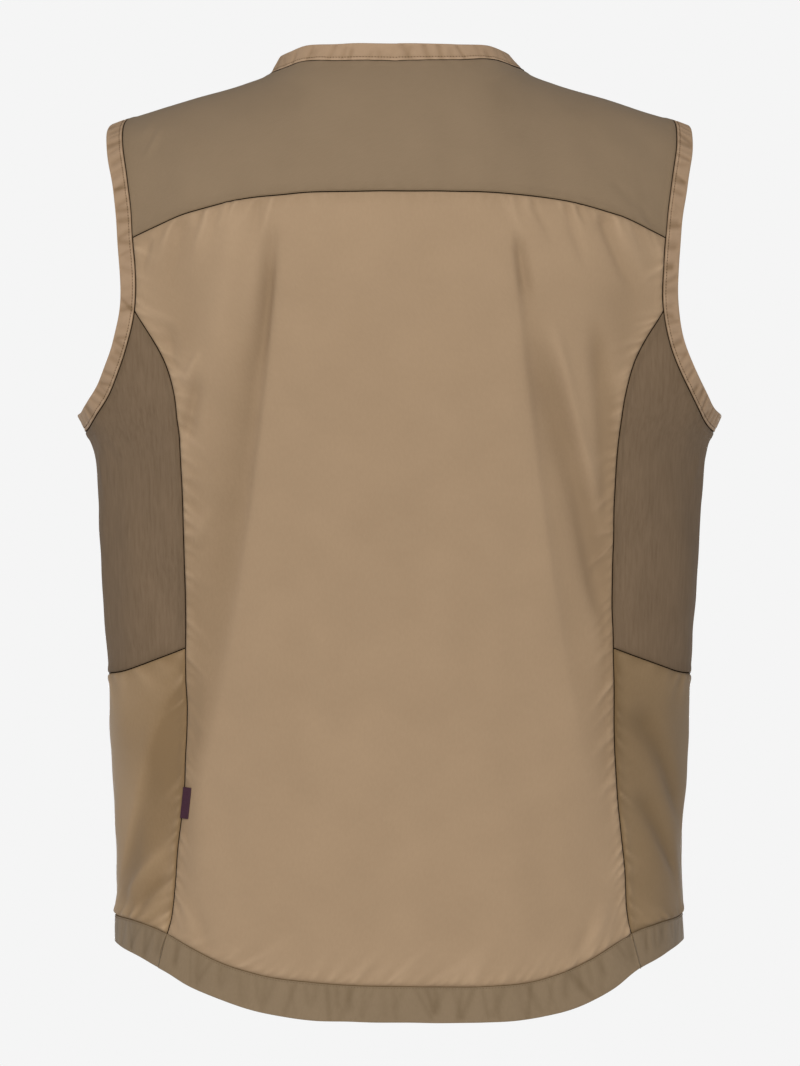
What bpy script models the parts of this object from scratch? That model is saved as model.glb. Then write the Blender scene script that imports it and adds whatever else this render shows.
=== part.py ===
"""Wind vest, filled out as worn, with nobody in it.

Metres, +Z up. The front of the vest faces -Y and its back +Y, so its left side is at +X. The origin is on
the midline between the two points where the shoulder lines meet the neck, which is where a wearer carries it.

Every panel lies on one smooth form. The form is a row of level sections with a rounded top over the
shoulders. Seam lines are drawn on the form, a panel is a grid stretched between four of them, and its wall
goes inwards along the form's normal. Folds are ridges and troughs on the form itself, so the panels on both
sides of a seam follow the same fold and stay the same small gap apart.
"""
import math
from collections import namedtuple

import bmesh
import bpy
import numpy as np
from mathutils import Matrix, Vector

# Cloth and seams
CLOTH = 0.0012
SEAM_GAP = 0.0003
BINDING_WIDTH = 0.0134
NECK_MIDDLE = (0.0024, -0.012, 0.0)
BINDING_WALL = 0.0024
BINDING_PROUD = 0.0007
HEM_PROUD = 0.0003

# Form
ROUNDNESS = 2.4
ARCH_START = -0.160
ARCH_BACK = 2.0
ARCH_FRONT = 1.6

# Zip, across the centre front
FRONT_EDGE = 0.0045
CHAIN_HALF = 0.0027
CHAIN_SINK = 0.0009
CHAIN_DEPTH = 0.0020
TAPE_WIDTH = 0.0120
TAPE_SINK = 0.0018
TAPE_DEPTH = 0.0010
TAPE_PAST_SEAM = 0.0095
TAPE_OFF_HEM = 0.0030
ZIP_TOP = -0.0600
CHAIN_IN_SLIDER = 0.0013
BOX_HEIGHT = 0.0080
BOX_BEVEL = 0.0004
SLIDER_HALF = 0.0042
SLIDER_HEIGHT = 0.0110
SLIDER_RISE = 0.88
SLIDER_BEVEL = 0.0003
PLATE = 0.0012
PLATE_CLEAR = 0.0005
POST_HALF = 0.0012
POST_FOOT = 0.0025
POST_TOP = 0.0052
POST_BEVEL = 0.0002
BAIL_WIRE = 0.00055
PULL_AXIS_OUT = 0.00165
PULL_LENGTH = 0.0240
PULL_TOP = 0.00055
PULL_THICKNESS = 0.0011
PULL_ROUNDING = 0.0002

# The bail's course over the front plate, from its top foot to its lower one
BailPoint = namedtuple("BailPoint", "up out")
BAIL = (
    BailPoint(0.0040, 0.0003),
    BailPoint(0.0038, 0.0020),
    BailPoint(0.0027, 0.0033),
    BailPoint(-0.0027, 0.0033),
    BailPoint(-0.0038, 0.0020),
    BailPoint(-0.0040, 0.0003),
)

# Outlines of the pull, measured up from its axis: its edge, the window for the bail and the grip hole
Outline = namedtuple("Outline", "top foot half_width corner")
PULL_OUTLINES = (
    Outline(PULL_TOP, -PULL_LENGTH, 0.0027, 0.0012),
    Outline(-0.0009, -0.0057, 0.0013, 0.0003),
    Outline(-0.0159, -0.0211, 0.0010, 0.0008),
)

# Ribbon tab in the left side seam
TAB_TOP = -0.5180
TAB_FOOT = -0.5405
TAB_ROWS = 3

# Its folded section: how far from the seam a point lies, and how far off the panel
TabPoint = namedtuple("TabPoint", "aside off")
TAB_SECTION = (
    TabPoint(0.0000, 0.0003),
    TabPoint(0.0060, 0.0003),
    TabPoint(0.0068, 0.0013),
    TabPoint(0.0060, 0.0023),
    TabPoint(0.0000, 0.0023),
    TabPoint(0.0000, 0.0015),
    TabPoint(0.0054, 0.0015),
    TabPoint(0.0057, 0.0013),
    TabPoint(0.0054, 0.0011),
    TabPoint(0.0000, 0.0011),
)

# Level sections of the trunk, from the hem up
Level = namedtuple("Level", "height half_width back_depth front_depth")
LEVELS = (
    Level(-0.720, 0.2060, 0.1250, 0.1160),
    Level(-0.631, 0.2066, 0.1225, 0.1160),
    Level(-0.530, 0.2058, 0.1160, 0.1140),
    Level(-0.456, 0.2112, 0.1150, 0.1150),
    Level(-0.384, 0.2160, 0.1175, 0.1190),
    Level(-0.310, 0.2202, 0.1220, 0.1240),
    Level(-0.270, 0.2244, 0.1240, 0.1260),
    Level(-0.247, 0.2342, 0.1250, 0.1262),
    Level(-0.222, 0.2400, 0.1255, 0.1255),
    Level(-0.180, 0.2400, 0.1250, 0.1235),
    Level(-0.060, 0.2400, 0.1230, 0.1170),
    Level(0.060, 0.2400, 0.1230, 0.1150),
)

# The shoulder line, from the midline out; over the neck it is only the form's crown
Shoulder = namedtuple("Shoulder", "across height")
SHOULDERS = (
    Shoulder(0.000, 0.0270),
    Shoulder(0.040, 0.0240),
    Shoulder(0.070, 0.0155),
    Shoulder(0.085, 0.0055),
    Shoulder(0.094, -0.0002),
    Shoulder(0.113, -0.0077),
    Shoulder(0.153, -0.0194),
    Shoulder(0.190, -0.0311),
    Shoulder(0.202, -0.0348),
    Shoulder(0.211, -0.0384),
    Shoulder(0.250, -0.0700),
)

# Seams of the left half, each a short run of points that is then laid on the form
Point = namedtuple("Point", "across depth height")
ARMHOLE_SEAM = (
    Point(0.1968, 0.000, -0.0338),
    Point(0.1984, 0.038, -0.0525),
    Point(0.1961, 0.066, -0.0808),
    Point(0.1923, 0.083, -0.1227),
    Point(0.1905, 0.089, -0.1598),
    Point(0.1930, 0.087, -0.1873),
    Point(0.2020, 0.076, -0.2203),
    Point(0.2150, 0.052, -0.2480),
    Point(0.2258, 0.000, -0.2595),
    Point(0.2150, -0.053, -0.2490),
    Point(0.2010, -0.078, -0.2220),
    Point(0.1900, -0.089, -0.1850),
    Point(0.1870, -0.089, -0.1500),
    Point(0.1890, -0.083, -0.1150),
    Point(0.1940, -0.062, -0.0750),
    Point(0.1968, -0.032, -0.0475),
)
NECK_SEAM = (
    Point(0.0000, 0.063, 0.0073),
    Point(0.0494, 0.055, 0.0077),
    Point(0.0714, 0.042, 0.0071),
    Point(0.0819, 0.032, 0.0042),
    Point(0.0896, 0.014, 0.0005),
    Point(0.0896, -0.008, -0.0020),
    Point(0.0846, -0.034, -0.0105),
    Point(0.0730, -0.058, -0.0230),
    Point(0.0500, -0.078, -0.0370),
    Point(0.0240, -0.090, -0.0460),
    Point(0.0000, -0.094, -0.0490),
)
YOKE_SEAM_BACK = (
    Point(0.1800, 0.087, -0.1164),
    Point(0.1582, 0.094, -0.1068),
    Point(0.1401, 0.100, -0.1008),
    Point(0.1148, 0.105, -0.0948),
    Point(0.0860, 0.110, -0.0914),
    Point(0.0572, 0.113, -0.0896),
    Point(0.0000, 0.115, -0.0892),
)
YOKE_CORNER_BACK = -0.1220
YOKE_CORNER_FRONT = -0.0830
SIDE_CORNER_BACK = -0.1746
SIDE_CORNER_FRONT = -0.1800
NECK_YOKE = Point(0.0840, -0.040, -0.014)
NECK_BEND = Point(0.0790, 0.034, 0.005)
YOKE_FRONT_BOW = Point(0.0, -0.004, 0.004)
CENTRE_LINE_TOP = -0.0300
CENTRE_LINE_FOOT = -0.6600

# Round the back and sides the neck sits a little to one side; this is where that starts
NECK_SHIFT_START = -0.090
NECK_SHIFT_FADE = 0.080

# Depth past which a point of the armhole seam is on its back or front half
ARMHOLE_HALVES = 0.020

# The side seam is as far across on the front as on the back
SideSeam = namedtuple("SideSeam", "height across")
SIDE_SEAM = (
    SideSeam(-0.1954, 0.1784),
    SideSeam(-0.2135, 0.1693),
    SideSeam(-0.2331, 0.1630),
    SideSeam(-0.2565, 0.1594),
    SideSeam(-0.2833, 0.1567),
    SideSeam(-0.3191, 0.1556),
    SideSeam(-0.4160, 0.1552),
    SideSeam(-0.4781, 0.1552),
    SideSeam(-0.5178, 0.1568),
    SideSeam(-0.5640, 0.1617),
    SideSeam(-0.6240, 0.1678),
    SideSeam(-0.6370, 0.1722),
    SideSeam(-0.6700, 0.1760),
)

# Level lines round the left half; turn is degrees from the side toward the back, and a drop is how much
# lower the line runs on the right half
Round = namedtuple("Round", "turn hem_seam seam_drop hem_edge edge_drop")
ROUNDS = (
    Round(-90.0, -0.6070, 0.0, -0.6310, 0.0),
    Round(-40.0, -0.6075, 0.0, -0.6310, 0.0),
    Round(-12.0, -0.6105, 0.0, -0.6310, 0.0),
    Round(0.0, -0.6118, 0.0, -0.6310, 0.0),
    Round(8.0, -0.6132, 0.0, -0.6335, 0.0),
    Round(18.9, -0.6170, 0.0, -0.6425, 0.0),
    Round(26.4, -0.6240, 0.0, -0.6520, 0.0010),
    Round(31.0, -0.6316, 0.0006, -0.6602, 0.0028),
    Round(36.7, -0.6408, 0.0020, -0.6680, 0.0043),
    Round(47.3, -0.6517, 0.0036, -0.6782, 0.0042),
    Round(63.0, -0.6577, 0.0028, -0.6848, 0.0016),
    Round(75.0, -0.6597, 0.0010, -0.6860, 0.0003),
    Round(90.0, -0.6604, 0.0, -0.6864, 0.0),
)
Slant = namedtuple("Slant", "turn height")
SLANT_SEAM = (
    Slant(31.3, -0.4160),
    Slant(24.7, -0.4243),
    Slant(13.8, -0.4347),
    Slant(5.0, -0.4366),
    Slant(-10.0, -0.4390),
    Slant(-32.0, -0.4440),
)

# How the neck strip stands on its seam: how far it rises, and how far it leans in toward the neck
NeckStrip = namedtuple("NeckStrip", "turn rise lean")
NECK_STRIP = (
    NeckStrip(-90.0, 0.0120, 0.0050),
    NeckStrip(-30.0, 0.0118, 0.0060),
    NeckStrip(0.0, 0.0112, 0.0070),
    NeckStrip(30.0, 0.0118, 0.0060),
    NeckStrip(60.0, 0.0128, 0.0030),
    NeckStrip(90.0, 0.0128, 0.0020),
)

# Section of a folded strip: how far up the strip a point lies, and how far out of its middle
StripPoint = namedtuple("StripPoint", "up out")
STRIP_SECTION = (
    StripPoint(0.00, -0.10),
    StripPoint(0.14, 0.50),
    StripPoint(0.50, 0.56),
    StripPoint(0.86, 0.50),
    StripPoint(1.00, 0.00),
    StripPoint(0.86, -0.50),
    StripPoint(0.50, -0.50),
    StripPoint(0.14, -0.50),
)

# A face's folds start this far from the middle of the form, and are whole a fade further out
FACE_START = 0.018
FACE_FADE = 0.030
SIDE_START = 0.140
SIDE_FADE = 0.020

# The largest folds. Across is X on the back and front and Y on the sides. A positive lift is a ridge.
Fold = namedtuple("Fold", "face across0 height0 across1 height1 bow width lift")
FOLDS = (
    Fold("back", 0.0870, -0.100, 0.1470, -0.570, -0.0065, 0.0120, 0.0030),
    Fold("back", 0.1040, -0.120, 0.1600, -0.500, -0.0060, 0.0150, -0.0038),
    Fold("back", 0.1290, -0.105, 0.1400, -0.270, 0.0020, 0.0100, 0.0024),
    Fold("back", -0.0850, -0.100, -0.1370, -0.540, 0.0010, 0.0115, 0.0030),
    Fold("back", -0.1010, -0.120, -0.1520, -0.480, 0.0020, 0.0150, -0.0036),
    Fold("back", -0.1190, -0.105, -0.1330, -0.260, -0.0020, 0.0100, 0.0026),
    Fold("back", 0.0300, -0.095, 0.0200, -0.220, 0.0000, 0.0130, -0.0014),
    Fold("back", -0.0340, -0.095, -0.0220, -0.230, 0.0000, 0.0130, -0.0014),
    Fold("left", 0.0850, -0.435, 0.0500, -0.560, 0.0040, 0.0110, 0.0026),
    Fold("left", 0.0400, -0.440, 0.0300, -0.600, 0.0000, 0.0130, -0.0026),
    Fold("right", 0.0500, -0.450, 0.0420, -0.600, 0.0000, 0.0120, -0.0030),
    Fold("right", 0.0100, -0.445, 0.0180, -0.590, 0.0000, 0.0120, 0.0020),
    Fold("front", 0.0700, -0.070, 0.0950, -0.420, 0.0060, 0.0140, 0.0026),
    Fold("front", 0.1020, -0.120, 0.1260, -0.460, 0.0050, 0.0160, -0.0032),
    Fold("front", -0.0740, -0.080, -0.1020, -0.460, -0.0050, 0.0140, 0.0026),
    Fold("front", -0.1060, -0.130, -0.1240, -0.420, -0.0060, 0.0160, -0.0030),
)

# Grid sizes: how many cells a stretch of seam is split into
BACK_ACROSS = 28
NECK_FRONT = 5
YOKE_DOWN = 5
FRONT_ACROSS = NECK_FRONT + YOKE_DOWN
OVER_SHOULDER = 9
ARMHOLE_BACK = 3
ARMHOLE_FRONT = 5
SIDE_ROUND = 14
SIDE_UPPER_UP = 8
SIDE_LOWER_UP = 7
HEM_UP = 2
ROW_CROWDING = 1.35
LINE_POINTS = 900

# How points are laid on the form
SLOPE_STEP = 0.00002
LONGEST_MOVE = 0.030
SETTLE_MOVES = 14
HALVINGS = 40
FARTHEST_ROUND = 0.400
FARTHEST_DEEP = 0.200
FOLD_ENDS = 0.7

# Shading and joined meshes
SHARP_ANGLE = math.radians(50)
SAME_POINT = 0.00001

# Photo colours, as display values, and how rough each thing is
Finish = namedtuple("Finish", "red green blue roughness metallic")
FINISHES = {
    "tan_cloth": Finish(166, 140, 110, 0.55, 0.0),
    "olive_cloth": Finish(138, 118, 94, 0.60, 0.0),
    "stretch_cloth": Finish(114, 95, 75, 0.80, 0.0),
    "binding_cloth": Finish(163, 136, 111, 0.65, 0.0),
    "zip_tape": Finish(120, 100, 80, 0.75, 0.0),
    "zip_coil": Finish(112, 94, 74, 0.40, 0.0),
    "zip_metal": Finish(96, 88, 78, 0.35, 0.8),
    "purple_ribbon": Finish(75, 33, 58, 0.50, 0.0),
}


def column(table, name):
    """One column of a table of named rows."""
    return np.array([getattr(row, name) for row in table])


def smooth(at, places, values):
    """Smooth curve through a table's values, level with its ends beyond them."""
    places = np.asarray(places, dtype=float)
    values = np.asarray(values, dtype=float)
    slopes = np.gradient(values, places)
    at = np.clip(at, places[0], places[-1])
    left = np.clip(np.searchsorted(places, at, side="right") - 1, 0, len(places) - 2)
    span = places[left + 1] - places[left]
    t = (at - places[left]) / span
    start = (1 + 2 * t) * (1 - t) ** 2 * values[left] + t * (1 - t) ** 2 * span * slopes[left]
    end = t ** 2 * (3 - 2 * t) * values[left + 1] + t ** 2 * (t - 1) * span * slopes[left + 1]
    return start + end


def level(z, name):
    """A size of the level section at height z."""
    return smooth(z, column(LEVELS, "height"), column(LEVELS, name))


def form_value(p):
    """Below zero inside the form, zero on it and above zero outside."""
    across, y, z = np.abs(p[..., 0]), p[..., 1], p[..., 2]
    back = y > 0
    depth = np.where(back, level(z, "back_depth"), level(z, "front_depth"))
    ridge = smooth(across, column(SHOULDERS, "across"), column(SHOULDERS, "height"))
    rise = np.clip((z - ARCH_START) / (ridge - ARCH_START), 0.0, None)
    arch = rise ** np.where(back, ARCH_BACK, ARCH_FRONT)
    side = (across / level(z, "half_width")) ** ROUNDNESS
    return side + (np.abs(y) / depth) ** ROUNDNESS + arch * np.maximum(1 - side, 0.0) - 1


def form_slope(p):
    """How fast the form's value grows along each axis."""
    slopes = []
    for axis in np.eye(3) * SLOPE_STEP:
        slopes.append((form_value(p + axis) - form_value(p - axis)) / (2 * SLOPE_STEP))
    return np.stack(slopes, axis=-1)


def normal(p):
    """Outward direction of the form at points on it."""
    slope = form_slope(p)
    return slope / np.linalg.norm(slope, axis=-1, keepdims=True)


def settle(p):
    """Moves points onto the form, along its slope."""
    p = np.array(p, dtype=float)
    for _ in range(SETTLE_MOVES):
        slope = form_slope(p)
        move = -(form_value(p) / np.maximum((slope ** 2).sum(-1), 1e-9))[..., None] * slope
        length = np.maximum(np.linalg.norm(move, axis=-1, keepdims=True), 1e-12)
        p = p + move * np.minimum(1.0, LONGEST_MOVE / length)
    return p


def at_turn(turn, z):
    """Points of the form at an angle from the side and a height."""
    angle = np.radians(turn)
    way = np.stack([np.cos(angle), np.sin(angle)], axis=-1)
    near, far = np.zeros_like(angle), np.full_like(angle, FARTHEST_ROUND)
    for _ in range(HALVINGS):
        middle = (near + far) / 2
        inside = form_value(np.stack([way[:, 0] * middle, way[:, 1] * middle, z], axis=-1)) < 0
        near, far = np.where(inside, middle, near), np.where(inside, far, middle)
    return np.stack([way[:, 0] * near, way[:, 1] * near, z], axis=-1)


def at_face(across, z, facing):
    """Points of the form on the back (facing 1) or the front (facing -1)."""
    near, far = np.zeros_like(z), np.full_like(z, FARTHEST_DEEP)
    for _ in range(HALVINGS):
        middle = (near + far) / 2
        inside = form_value(np.stack([across, facing * middle, z], axis=-1)) < 0
        near, far = np.where(inside, middle, near), np.where(inside, far, middle)
    return np.stack([across, facing * near, z], axis=-1)


def ease(t):
    """Rises smoothly from 0 to 1."""
    t = np.clip(t, 0.0, 1.0)
    return t * t * (3 - 2 * t)


def fold_lift(p):
    """How far the folds lift the cloth off the form at each point."""
    facing = {
        "back": ease((p[..., 1] - FACE_START) / FACE_FADE),
        "front": ease((-p[..., 1] - FACE_START) / FACE_FADE),
        "left": ease((p[..., 0] - SIDE_START) / SIDE_FADE),
        "right": ease((-p[..., 0] - SIDE_START) / SIDE_FADE),
    }
    total = np.zeros(p.shape[:-1])
    for fold in FOLDS:
        across = p[..., 1] if fold.face in ("left", "right") else p[..., 0]
        start = np.array([fold.across0, fold.height0])
        chord = np.array([fold.across1, fold.height1]) - start
        length = np.hypot(*chord)
        along = ((across - start[0]) * chord[0] + (p[..., 2] - start[1]) * chord[1]) / length ** 2
        aside = ((across - start[0]) * -chord[1] + (p[..., 2] - start[1]) * chord[0]) / length
        t = np.clip(along, 0.0, 1.0)
        swell = np.sin(math.pi * t) ** FOLD_ENDS
        aside = aside - fold.bow * 4 * t * (1 - t)
        total += fold.lift * swell * np.exp(-(aside / fold.width) ** 2) * facing[fold.face]
    return total


def through(points, count=LINE_POINTS):
    """Even points along a smooth line through the given ones."""
    points = np.asarray(points, dtype=float)
    chords = np.linalg.norm(np.diff(points, axis=0), axis=1)
    places = np.concatenate([[0.0], np.cumsum(chords)])
    fine = np.linspace(0.0, places[-1], 4 * count)
    line = np.stack([smooth(fine, places, points[:, axis]) for axis in range(3)], axis=-1)
    return even(line, count)


def even(line, count):
    """The same line with evenly spaced points."""
    chords = np.linalg.norm(np.diff(line, axis=0), axis=1)
    places = np.concatenate([[0.0], np.cumsum(chords)])
    wanted = np.linspace(0.0, places[-1], count)
    return np.stack([np.interp(wanted, places, line[:, axis]) for axis in range(3)], axis=-1)


def nearest(line, point):
    """Index of the line's point nearest to a point."""
    return int(np.argmin(np.linalg.norm(line - point, axis=1)))


def meeting(line_a, line_b):
    """The point where two lines come closest."""
    apart = np.linalg.norm(line_a[:, None, :] - line_b[None, :, :], axis=2)
    a, b = np.unravel_index(np.argmin(apart), apart.shape)
    return (line_a[a] + line_b[b]) / 2


def stretch(line, start, end, cells):
    """The stretch of a line between two of its points, in even cells."""
    a, b = nearest(line, start), nearest(line, end)
    part = line[a:b + 1] if a < b else line[b:a + 1][::-1]
    part = np.concatenate([[start], part[1:-1], [end]])
    return even(part, cells + 1)


def joined(*parts):
    """One run of points from stretches that share their ends."""
    return np.concatenate([parts[0]] + [part[1:] for part in parts[1:]])


def beside(line, distance):
    """A line at a distance from another on the form, on the left of its course seen from outside."""
    course = np.gradient(line, axis=0)
    way = np.cross(normal(line), course)
    way /= np.linalg.norm(way, axis=1, keepdims=True)
    return settle(line + way * distance)


def coons(foot, top, left, right):
    """A grid stretched between four lines; foot and top run left to right, the others run up."""
    u = np.linspace(0, 1, len(foot))[None, :, None]
    v = np.linspace(0, 1, len(left))[:, None, None]
    ruled_up = (1 - v) * foot[None] + v * top[None]
    ruled_across = (1 - u) * left[:, None] + u * right[:, None]
    corners = (1 - u) * (1 - v) * foot[0] + u * (1 - v) * foot[-1] + (1 - u) * v * top[0] + u * v * top[-1]
    return ruled_up + ruled_across - corners


def panel_grid(foot, top, left, right):
    """The points of a panel on the form, half a seam gap inside its seam lines."""
    grid = settle(coons(foot, top, left, right))
    across_edge = np.gradient(grid, axis=1)
    up_edge = np.gradient(grid, axis=0)
    moved = grid.copy()
    for rows, side in ((0, 1.0), (-1, -1.0)):
        way = inward(grid[rows], across_edge[rows], up_edge[rows] * side)
        moved[rows] += way * SEAM_GAP / 2
    for columns, side in ((0, 1.0), (-1, -1.0)):
        way = inward(grid[:, columns], up_edge[:, columns], across_edge[:, columns] * side)
        moved[:, columns] += way * SEAM_GAP / 2
    return moved


def inward(points, course, toward):
    """Unit steps in the form's surface, square to a seam's course, on the side that toward points to."""
    way = np.cross(normal(points), course)
    way /= np.linalg.norm(way, axis=1, keepdims=True)
    return way * np.sign((way * toward).sum(-1, keepdims=True))


def wall(grid, thickness, proud=0.0):
    """Outer and inner faces of a wall on the form, folds included."""
    out = normal(grid)
    lift = (fold_lift(grid) + proud)[..., None]
    outer = grid + out * lift
    return outer, outer - out * thickness


def surface_material(name):
    """A Principled material with the finish of that name."""
    material = bpy.data.materials.get(name)
    if material:
        return material
    finish = FINISHES[name]
    material = bpy.data.materials.new(name)
    material.use_nodes = True
    shader = material.node_tree.nodes["Principled BSDF"]
    colour = [(shade / 255) ** 2.2 for shade in (finish.red, finish.green, finish.blue)]
    shader.inputs["Base Color"].default_value = (*colour, 1.0)
    shader.inputs["Roughness"].default_value = finish.roughness
    shader.inputs["Metallic"].default_value = finish.metallic
    material.diffuse_color = (*colour, 1.0)
    return material


def add_object(name, mesh, finish):
    """Puts a mesh in the vest's collection under a name, with its finish."""
    mesh.materials.clear()
    mesh.materials.append(surface_material(finish))
    part = bpy.data.objects.new(name, mesh)
    bpy.data.collections["wind_vest"].objects.link(part)
    return part


def add_loft(name, sections, finish, ring=False):
    """A closed body lofted through closed sections of equal counts, with end caps unless it is a ring."""
    build = bmesh.new()
    rings = [[build.verts.new(point) for point in section] for section in sections]
    count = len(rings[0])
    pairs = list(zip(rings, rings[1:]))
    if ring:
        pairs.append((rings[-1], rings[0]))
    for near, far in pairs:
        for i in range(count):
            j = (i + 1) % count
            # The inner face is split along the same diagonals as the outer one, so the wall stays even
            if i < count // 2:
                build.faces.new((near[i], near[j], far[j]))
                build.faces.new((near[i], far[j], far[i]))
            else:
                build.faces.new((near[i], near[j], far[i]))
                build.faces.new((near[j], far[j], far[i]))
    if not ring:
        for end in (rings[0], rings[-1]):
            half = count // 2
            for i in range(half - 1):
                build.faces.new((end[i], end[i + 1], end[count - 2 - i], end[count - 1 - i]))
    bmesh.ops.triangulate(build, faces=build.faces)
    bmesh.ops.recalc_face_normals(build, faces=build.faces)
    mesh = bpy.data.meshes.new(name)
    build.to_mesh(mesh)
    build.free()
    mesh.shade_smooth()
    mesh.set_sharp_from_angle(angle=SHARP_ANGLE)
    return add_object(name, mesh, finish)


def add_wall(name, outer, inner, finish, ring=False):
    """A closed wall whose sections run across it, down the outer face and back up the inner one."""
    sections = np.concatenate([outer, inner[::-1]], axis=0).swapaxes(0, 1)
    return add_loft(name, sections, finish, ring)


class Seams:
    """The seam lines of one side of the vest, laid on the form; side is 1 for the left, -1 for the right.

    Its runs are the stretches between corners, cut into cells. Both panels at a seam use the same run, so
    their edges have the same points and stay one gap apart.
    """

    def __init__(self, side):
        self.side = side
        self.lay_lines()
        self.find_corners()
        self.cut_runs()

    def lay_lines(self):
        """The lines before they are cut."""
        self.armhole = self.on_form(ARMHOLE_SEAM + ARMHOLE_SEAM[:1])
        self.neck = settle(through(self.neck_points()))
        self.yoke_corner_back = self.armhole_at(YOKE_CORNER_BACK, 1)
        self.yoke_corner_front = self.armhole_at(YOKE_CORNER_FRONT, -1)
        self.side_corner_back = self.armhole_at(SIDE_CORNER_BACK, 1)
        self.side_corner_front = self.armhole_at(SIDE_CORNER_FRONT, -1)
        yoke_points = np.array(YOKE_SEAM_BACK) * (self.side, 1, 1)
        self.yoke_back = settle(through(np.vstack([[self.yoke_corner_back], yoke_points])))
        self.back_seam = self.side_seam(self.side_corner_back, 1)
        self.front_seam = self.side_seam(self.side_corner_front, -1)
        self.slant = self.round_line(SLANT_SEAM, "height")
        self.hem_seam = self.round_line(ROUNDS, "hem_seam", "seam_drop")
        self.hem_edge = self.round_line(ROUNDS, "hem_edge", "edge_drop")
        heights = np.linspace(CENTRE_LINE_TOP, CENTRE_LINE_FOOT, LINE_POINTS)
        self.centre_front = at_face(np.full_like(heights, FRONT_EDGE * self.side), heights, -1)

    def find_corners(self):
        """The points where the lines meet."""
        self.neck_front = meeting(self.neck, self.centre_front)
        self.neck_yoke = self.neck[nearest(self.neck, np.array(NECK_YOKE) * (self.side, 1, 1))]
        self.neck_bend = self.neck[nearest(self.neck, np.array(NECK_BEND) * (self.side, 1, 1))]
        self.slant_back = meeting(self.slant, self.back_seam)
        self.slant_front = meeting(self.slant, self.front_seam)
        self.hem_back = meeting(self.hem_seam, self.back_seam)
        self.hem_front = meeting(self.hem_seam, self.front_seam)
        self.edge_back = meeting(self.hem_edge, self.back_seam)
        self.edge_front = meeting(self.hem_edge, self.front_seam)
        self.hem_centre = meeting(self.hem_seam, self.centre_front)
        self.edge_centre = meeting(self.hem_edge, self.centre_front)

    def cut_runs(self):
        """The runs, named for their line; those beside a panel run up, the others from front to back."""
        self.over_shoulder = self.armhole_over_shoulder()
        side_back, side_front = self.side_corner_back, self.side_corner_front
        self.armhole_back = stretch(self.armhole, side_back, self.yoke_corner_back, ARMHOLE_BACK)
        self.underarm = stretch(self.armhole, side_front, side_back, SIDE_ROUND)
        self.armhole_front = stretch(self.armhole, side_front, self.yoke_corner_front, ARMHOLE_FRONT)
        self.upper_back = stretch(self.back_seam, self.slant_back, side_back, SIDE_UPPER_UP)
        self.lower_back = stretch(self.back_seam, self.hem_back, self.slant_back, SIDE_LOWER_UP)
        self.upper_front = stretch(self.front_seam, self.slant_front, side_front, SIDE_UPPER_UP)
        self.lower_front = stretch(self.front_seam, self.hem_front, self.slant_front, SIDE_LOWER_UP)
        self.slant_run = stretch(self.slant, self.slant_front, self.slant_back, SIDE_ROUND)
        self.hem_front_run = stretch(self.hem_seam, self.hem_centre, self.hem_front, FRONT_ACROSS)
        self.hem_side_run = stretch(self.hem_seam, self.hem_front, self.hem_back, SIDE_ROUND)
        self.edge_front_run = stretch(self.hem_edge, self.edge_centre, self.edge_front, FRONT_ACROSS)
        self.edge_side_run = stretch(self.hem_edge, self.edge_front, self.edge_back, SIDE_ROUND)
        self.band_centre = stretch(self.centre_front, self.edge_centre, self.hem_centre, HEM_UP)
        self.band_front = stretch(self.front_seam, self.edge_front, self.hem_front, HEM_UP)
        self.band_back = stretch(self.back_seam, self.edge_back, self.hem_back, HEM_UP)
        self.neck_front_run = stretch(self.neck, self.neck_front, self.neck_yoke, NECK_FRONT)
        self.neck_side_run = stretch(self.neck, self.neck_yoke, self.neck_bend, OVER_SHOULDER)
        middle = (self.neck_yoke + self.yoke_corner_front) / 2 + np.array(YOKE_FRONT_BOW)
        yoke_front = settle(through([self.neck_yoke, middle, self.yoke_corner_front]))
        self.yoke_front = even(yoke_front, YOKE_DOWN + 1)
        self.zip_rows = self.rows_beside_zip()
        self.zip_edge = at_face(np.full_like(self.zip_rows, FRONT_EDGE * self.side), self.zip_rows, -1)
        self.zip_edge[0], self.zip_edge[-1] = self.hem_centre, self.neck_front

    def neck_points(self):
        """The neck seam's points; round the back and sides the neck sits a little to the left."""
        points = np.array(NECK_SEAM) * (self.side, 1, 1)
        points[:, 0] += NECK_MIDDLE[0] * ease((points[:, 1] - NECK_SHIFT_START) / NECK_SHIFT_FADE)
        return points

    def on_form(self, rows):
        """A smooth line through a table's points, on the form."""
        return settle(through(np.array(rows) * (self.side, 1, 1)))

    def armhole_at(self, height, facing):
        """The point of the armhole seam at a height, on its back or front half."""
        half = self.armhole[self.armhole[:, 1] * facing > ARMHOLE_HALVES]
        return half[np.argmin(np.abs(half[:, 2] - height))]

    def side_seam(self, corner, facing):
        """The side seam on the back or front, from the armhole down past the hem."""
        across = column(SIDE_SEAM, "across") * self.side
        points = at_face(across, column(SIDE_SEAM, "height"), facing)
        return settle(through(np.vstack([[corner], points])))

    def round_line(self, rows, name, drop=None):
        """A line round the side from the front to the back, from a table of turns and heights."""
        turns = column(rows, "turn")
        order = np.argsort(turns)
        fine = np.linspace(turns.min(), turns.max(), LINE_POINTS)
        heights = column(rows, name)
        if self.side < 0 and drop:
            heights = heights - column(rows, drop)
        line = at_turn(fine, smooth(fine, turns[order], heights[order]))
        return even(line * (self.side, 1, 1), LINE_POINTS)

    def armhole_over_shoulder(self):
        """The armhole seam from the front yoke seam over the shoulder to the back yoke seam."""
        front = nearest(self.armhole, self.yoke_corner_front)
        back = nearest(self.armhole, self.yoke_corner_back)
        return even(np.concatenate([self.armhole[front:-1], self.armhole[:back + 1]]), OVER_SHOULDER + 1)

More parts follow.
